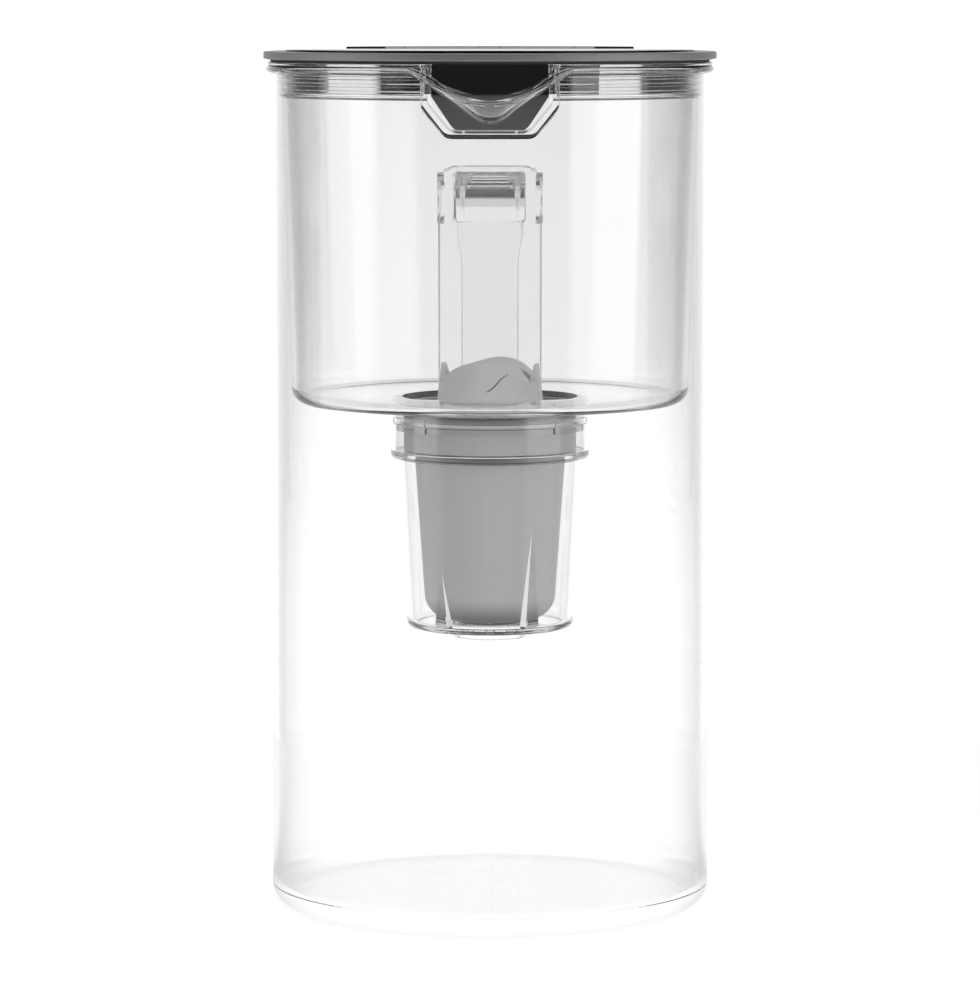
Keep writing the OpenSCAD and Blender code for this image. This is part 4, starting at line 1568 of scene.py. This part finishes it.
@dataclass
class Lid:
    """The lid: frame, skirt, gasket, trim ring and rear cover, and the flap on its hinge."""

    skirt_r: float = 60.3
    skirt_t: float = 0.6
    skirt_front: float = 51.9
    skirt_low: float = 245.3
    skirt_top: float = 254.7
    trim_in_r: float = 61.4
    trim_r: float = 67.7
    trim_low: float = 254.9
    trim_top: float = 257.1
    trim_t: float = 0.9
    frame_r: float = 66.5
    plate_low: float = 257.2
    plate_top: float = 258.0
    flap_top: float = 257.9
    plate_lean: float = 0.5
    plate_r: float = 60.9
    plate_end: float = 35.3
    scoop_w: float = 36.0
    scoop_in: float = 3.5
    cover_low: float = 255.5
    cover_y: float = 41.92
    screw_x: float = 25.0
    screw_y: float = 48.9
    screw_d: float = 2.0
    screw_z: float = 254.7
    screw_head: float = 1.1
    screw_stem: float = 2.4
    hole_deep: float = 1.6
    cross_long: float = 1.1
    cross_thin: float = 0.22
    cross_deep: float = 0.6
    seal_r: float = 37.8
    seal_w: float = 2.0
    seal_y: float = -14.0
    seal_low: float = 255.53
    seal_top: float = 256.4
    hinge_y: float = 38.0
    hinge_z: float = 255.6
    hinge_half: float = 32.0
    pin_r: float = 1.0

    def band(self, name: str, inset: float, low: float, high: float) -> bpy.types.Object:
        """A disc whose front is cut flat, as the skirt is.

        Args:
            name: Name of the disc.
            inset: Distance inwards from the skirt's outside.
            low: Height of its underside.
            high: Height of its top.

        Returns:
            The disc.
        """
        r, front = self.skirt_r - inset, self.skirt_front - inset
        reach = math.pi - math.acos(front / r)
        return prism(name, arc(r, reach, -reach, 220), low, high)

    def skirt(self) -> bpy.types.Object:
        """The polished band that reaches into the hopper.

        Returns:
            The band.
        """
        piece = self.band("skirt", 0.0, self.skirt_low, self.skirt_top)
        space = self.band("skirt_space", self.skirt_t, self.skirt_low - PAST, self.skirt_top + PAST)
        return combine(piece, space, Join.CUT)

    def trim(self) -> bpy.types.Object:
        """The ring round the lid, rolled from sheet.

        Returns:
            The ring.
        """
        top_in, low_in = self.trim_top - self.trim_t, self.frame_r
        wall = [(low_in, self.trim_low, 0.3), (self.trim_r, self.trim_low, 0.4),
                (self.trim_r, self.trim_top, 0.5), (self.trim_in_r, self.trim_top, 0.2),
                (self.trim_in_r, top_in, 0.2), (low_in, top_in, 0.1)]
        return lathe("trim", wall, closed=True, steps=4)

    def plate(self) -> bpy.types.Object:
        """The flap's top, with its finger scoop and straight rear edge; it leans a little to the rear.

        Returns:
            The flap's top.
        """
        half = self.scoop_w / 2
        scoop_r = (half * half + self.scoop_in ** 2) / (2 * self.scoop_in)
        scoop_y = self.scoop_in - self.plate_r - scoop_r
        edge = math.acos((self.plate_r ** 2 + scoop_y ** 2 - scoop_r ** 2) / (2 * self.plate_r * -scoop_y))
        rear = math.acos(-self.plate_end / self.plate_r)
        right = arc(self.plate_r, math.pi - edge, math.pi - rear, 90)
        open_half = math.atan2(right[0, 0], right[0, 1] - scoop_y)
        dip = arc(scoop_r, -open_half, open_half, 40)[1:-1] + (0, scoop_y)
        outline = np.concatenate([right, right[::-1] * (-1, 1), dip])
        piece = prism("flap_top", outline, self.plate_low, self.flap_top)
        for vertex in piece.data.vertices:
            if vertex.co.z > (self.plate_low + self.flap_top) / 2 * MM:
                back = vertex.co.y / MM + self.plate_r
                vertex.co.z -= self.plate_lean * MM * back / (self.plate_r + self.plate_end)
        return soften(piece, 0.06, 2)

    def cover(self) -> bpy.types.Object:
        """The fixed segment behind the hinge.

        Returns:
            The segment.
        """
        reach = math.acos(self.cover_y / self.plate_r)
        piece = prism("cover", arc(self.plate_r, -reach, reach, 120), self.cover_low, self.plate_top)
        soften(piece, 0.12, 3)
        low, high = self.cover_low - PAST, self.cover_low + self.hole_deep
        for side in (-1, 1):
            hole = rod("hole", self.screw_d / 2, low, high, SMALL_SIDES)
            combine(piece, moved(hole, side * self.screw_x, self.screw_y), Join.CUT)
        return piece

    def screws(self) -> bpy.types.Object:
        """The two cover screws, with domed heads and cross recesses.

        Returns:
            Both screws as one object.
        """
        seat, r = self.screw_z, self.screw_d
        low, tip = seat - self.screw_head, seat + self.screw_stem
        wall = [(0, low), (r, low, 0.7), (r, seat, 0.1), (r / 2, seat), (r / 2, tip, 0.3), (0, tip)]
        one = lathe("screw", wall, sides=SMALL_SIDES)
        for a, b in ((self.cross_thin, self.cross_long), (self.cross_long, self.cross_thin)):
            bar = np.array([(-a, -b), (a, -b), (a, b), (-a, b)])
            combine(one, prism("cross", bar, low - PAST, low + self.cross_deep), Join.CUT)
        moved(one, self.screw_x, self.screw_y)
        other = register(one.copy())
        other.data = one.data.copy()
        return combine(one, moved(other, -2 * self.screw_x), Join.UNITE)

    def build(self) -> None:
        """Makes the lid's and the flap's pieces."""
        deliver(self.skirt(), Body.LID, POLISHED_STEEL, ["lid_skirt"], crease=20)
        deliver(self.trim(), Body.LID, TRIM_STEEL, ["lid_trim_ring"])
        deliver(self.cover(), Body.LID, COVER_GLOSS, ["rear_cover"])
        deliver(self.screws(), Body.LID, PLAIN_STEEL, ["rear_cover_screws"])
        pin = rod("pin", self.pin_r, -self.hinge_half, self.hinge_half, SMALL_SIDES, ease=0.4)
        moved(pin, y=self.hinge_y, z=self.hinge_z, turn=90, about=Axis.Y)
        deliver(pin, Body.LID, PLAIN_STEEL, ["hinge_pin"])
        deliver(self.plate(), Body.FLAP, FLAP_STEEL, ["flap_plate"])
        seal = ring("flap_ring", self.seal_r, self.seal_r + self.seal_w, self.seal_low, self.seal_top, 0.3,
                    round_top=False)
        deliver(moved(seal, y=self.seal_y), Body.FLAP, WHITE_SILICONE, ["flap_seal"])
        dress(["lid_frame", "flap_liner"], LID_PLASTIC)
        dress(["lid_gasket"], DARK_RUBBER)


# Studio


@dataclass(frozen=True)
class Panel:
    """A pale panel of the room: its middle and half width in degrees from the camera, and its heights."""

    middle: float
    half: float
    low: float
    high: float
    level: float
    soft: float = 3.0
    wraps: bool = False


@dataclass(frozen=True)
class Lamp:
    """A square lamp: where it hangs, its side in millimetres and its power in watts."""

    name: str
    place: tuple[float, float, float]
    size: float
    power: float


@dataclass
class Studio:
    """Floor, camera, lamps and the room that the glass and steel mirror."""

    camera_back: float = 1515.0
    camera_up: float = 275.0
    pitch: float = 5.65
    focal_px: float = 5050.0
    image_px: int = 980
    sensor: float = 36.0
    floor_r: float = 370.0
    floor_t: float = 2.0
    floor_glow: float = 1.06
    floor_side: float = 0.74
    floor_least: float = 0.75
    glow_from: float = 60.0
    glow_full: float = 300.0
    lit_x: float = 50.0
    unlit_x: float = 72.0
    lit_turn: float = 42.97
    unlit_turn: float = 60.16
    dark: float = 0.1
    front_dark: float = 0.015
    front_half: float = 48.0
    front_soft: float = 6.0
    gap_turn: float = -8.0
    gap_half: float = 2.6
    gap_soft: float = 0.5
    level_soft: float = 2.0
    aim_z: float = 130.0
    panels: tuple[Panel, ...] = (
        Panel(180.0, 41.0, -13.0, 60.0, 1.12, soft=12.0, wraps=True),
        Panel(-82.5, 18.0, -30.0, 50.0, 1.25, soft=1.5),
        Panel(67.5, 23.5, -30.0, 50.0, 1.25, soft=1.5),
        Panel(0.0, 190.0, 52.0, 95.0, 0.6),
        Panel(0.0, 190.0, -19.0, -5.4, 0.84),
        Panel(0.0, 166.0, -40.0, -17.0, 0.84),
    )
    lamps: tuple[Lamp, ...] = (
        Lamp("left_lamp", (-900.0, -700.0, 700.0), 700.0, 15.0),
        Lamp("right_lamp", (900.0, -600.0, 600.0), 700.0, 15.0),
        Lamp("top_lamp", (0.0, 200.0, 1300.0), 900.0, 11.0),
    )

    def camera(self) -> None:
        """Sets the camera at the pitcher's front, a little above its middle."""
        data = bpy.data.cameras.new("camera")
        data.sensor_fit = "HORIZONTAL"
        data.sensor_width = self.sensor
        data.lens = self.focal_px / self.image_px * self.sensor
        data.clip_end = 100.0
        eye = register(bpy.data.objects.new("camera", data))
        eye.location = (0.0, -self.camera_back * MM, self.camera_up * MM)
        eye.rotation_euler = (math.radians(90 - self.pitch), 0.0, 0.0)
        bpy.context.scene.camera = eye

    def room(self) -> None:
        """Wires the world: white for the eye, and for all else a dark room with pale panels."""
        world = bpy.data.worlds.new("room")
        bpy.context.scene.world = world
        world.use_nodes = True
        bench = Bench(world.node_tree)
        x, y, z = bench.split(bench.add("TexCoord", "Generated"))
        turn = x.math("ARCTAN2", y * -1.0) * (180 / math.pi)
        lift = z.math("ARCSINE") * (180 / math.pi)
        ahead = (turn - self.gap_turn).math("ABSOLUTE")
        front = ahead.step(self.front_half + self.front_soft, self.front_half - self.front_soft)
        level = self.dark - front * (self.dark - self.front_dark)
        level = level * ahead.step(self.gap_half - self.gap_soft, self.gap_half + self.gap_soft)
        for panel in self.panels:
            off = (turn if panel.wraps else turn - panel.middle).math("ABSOLUTE")
            off = 180.0 - off if panel.wraps else off
            wide = off.step(panel.half + panel.soft, panel.half - panel.soft)
            above = lift.step(panel.low - self.level_soft, panel.low + self.level_soft)
            below = lift.step(panel.high + self.level_soft, panel.high - self.level_soft)
            level = (wide * (above * below) * panel.level).math("MAXIMUM", level)
        seen = bench.add("LightPath", "Is Camera Ray")
        sky = bench.add("Background", Color=(*WHITE, 1.0), Strength=seen.math("MAXIMUM", level))
        bench.finish(sky, "OutputWorld")

    def floor(self) -> None:
        """Lays the pale round floor, which fades into the background and is darker at the glass's sides."""
        disc = rod("floor", self.floor_r, -self.floor_t, 0, sides=128)
        made = bpy.data.materials.new("pale_floor")
        made.use_nodes = True
        bench = Bench(made.node_tree)
        tone = bench.noise(6.0, 2.0)
        matt = bench.add("BsdfPrincipled", Base_Color=bench.blend(tone, grey(0.9), grey(0.94)), Roughness=0.9)
        seen, mirrored, passed = (bench.add("LightPath", f"Is {kind} Ray")
                                  for kind in ("Camera", "Glossy", "Transmission"))
        x, y, _ = bench.split(bench.place())
        turn = x.math("ARCTAN2", y).math("ABSOLUTE")
        behind = turn.step(math.radians(self.unlit_turn), math.radians(self.lit_turn))
        lit = x.math("ABSOLUTE").step(self.unlit_x * MM, self.lit_x * MM).math("MAXIMUM", behind)
        bright = (lit * (self.floor_glow - self.floor_side) + self.floor_side) * (1.0 - seen) + seen
        glow = bench.add("Emission", Color=(*WHITE, 1.0), Strength=bright)
        away = wired(bench.tree, "ShaderNodeVectorMath", {0: bench.place()}, "Value", operation="LENGTH")
        out = away.step(self.glow_from * MM, self.glow_full * MM) * (1 - self.floor_least) + self.floor_least
        share = out.math("MAXIMUM", mirrored.math("MAXIMUM", passed))
        bench.finish(bench.choose(share, matt, glow))
        disc.data.materials.append(made)

    def hang(self, lamp: Lamp) -> None:
        """Hangs a lamp that points at the pitcher's middle and shows in no glass.

        Args:
            lamp: The lamp.
        """
        data = bpy.data.lights.new(lamp.name, "AREA")
        data.size = lamp.size * MM
        data.energy = lamp.power
        light = register(bpy.data.objects.new(lamp.name, data))
        light.location = [place * MM for place in lamp.place]
        aim = Vector((0.0, 0.0, self.aim_z * MM)) - light.location
        light.rotation_euler = aim.to_track_quat("-Z", "Y").to_euler()
        light.visible_camera = False
        light.visible_glossy = False
        light.visible_transmission = False

    def build(self) -> None:
        """Sets up camera, room, floor and lamps."""
        scene = bpy.context.scene
        scene.view_settings.view_transform = "Standard"
        scene.cycles.max_bounces = 40
        scene.cycles.transmission_bounces = 40
        scene.cycles.transparent_max_bounces = 48
        scene.cycles.glossy_bounces = 16
        scene.cycles.caustics_refractive = False
        scene.cycles.caustics_reflective = False
        self.camera()
        self.room()
        self.floor()
        for lamp in self.lamps:
            self.hang(lamp)
        log.info("studio is set")


def main() -> None:
    """Builds the pitcher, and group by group."""
    logging.basicConfig(level=logging.INFO, format="%(name)s: %(message)s")
    Studio().build()
    for group in (Jug(), Handle(), Hopper(), FilterCup(), Cartridge(), Lid()):
        group.build()


if __name__ == "__main__":
    main()
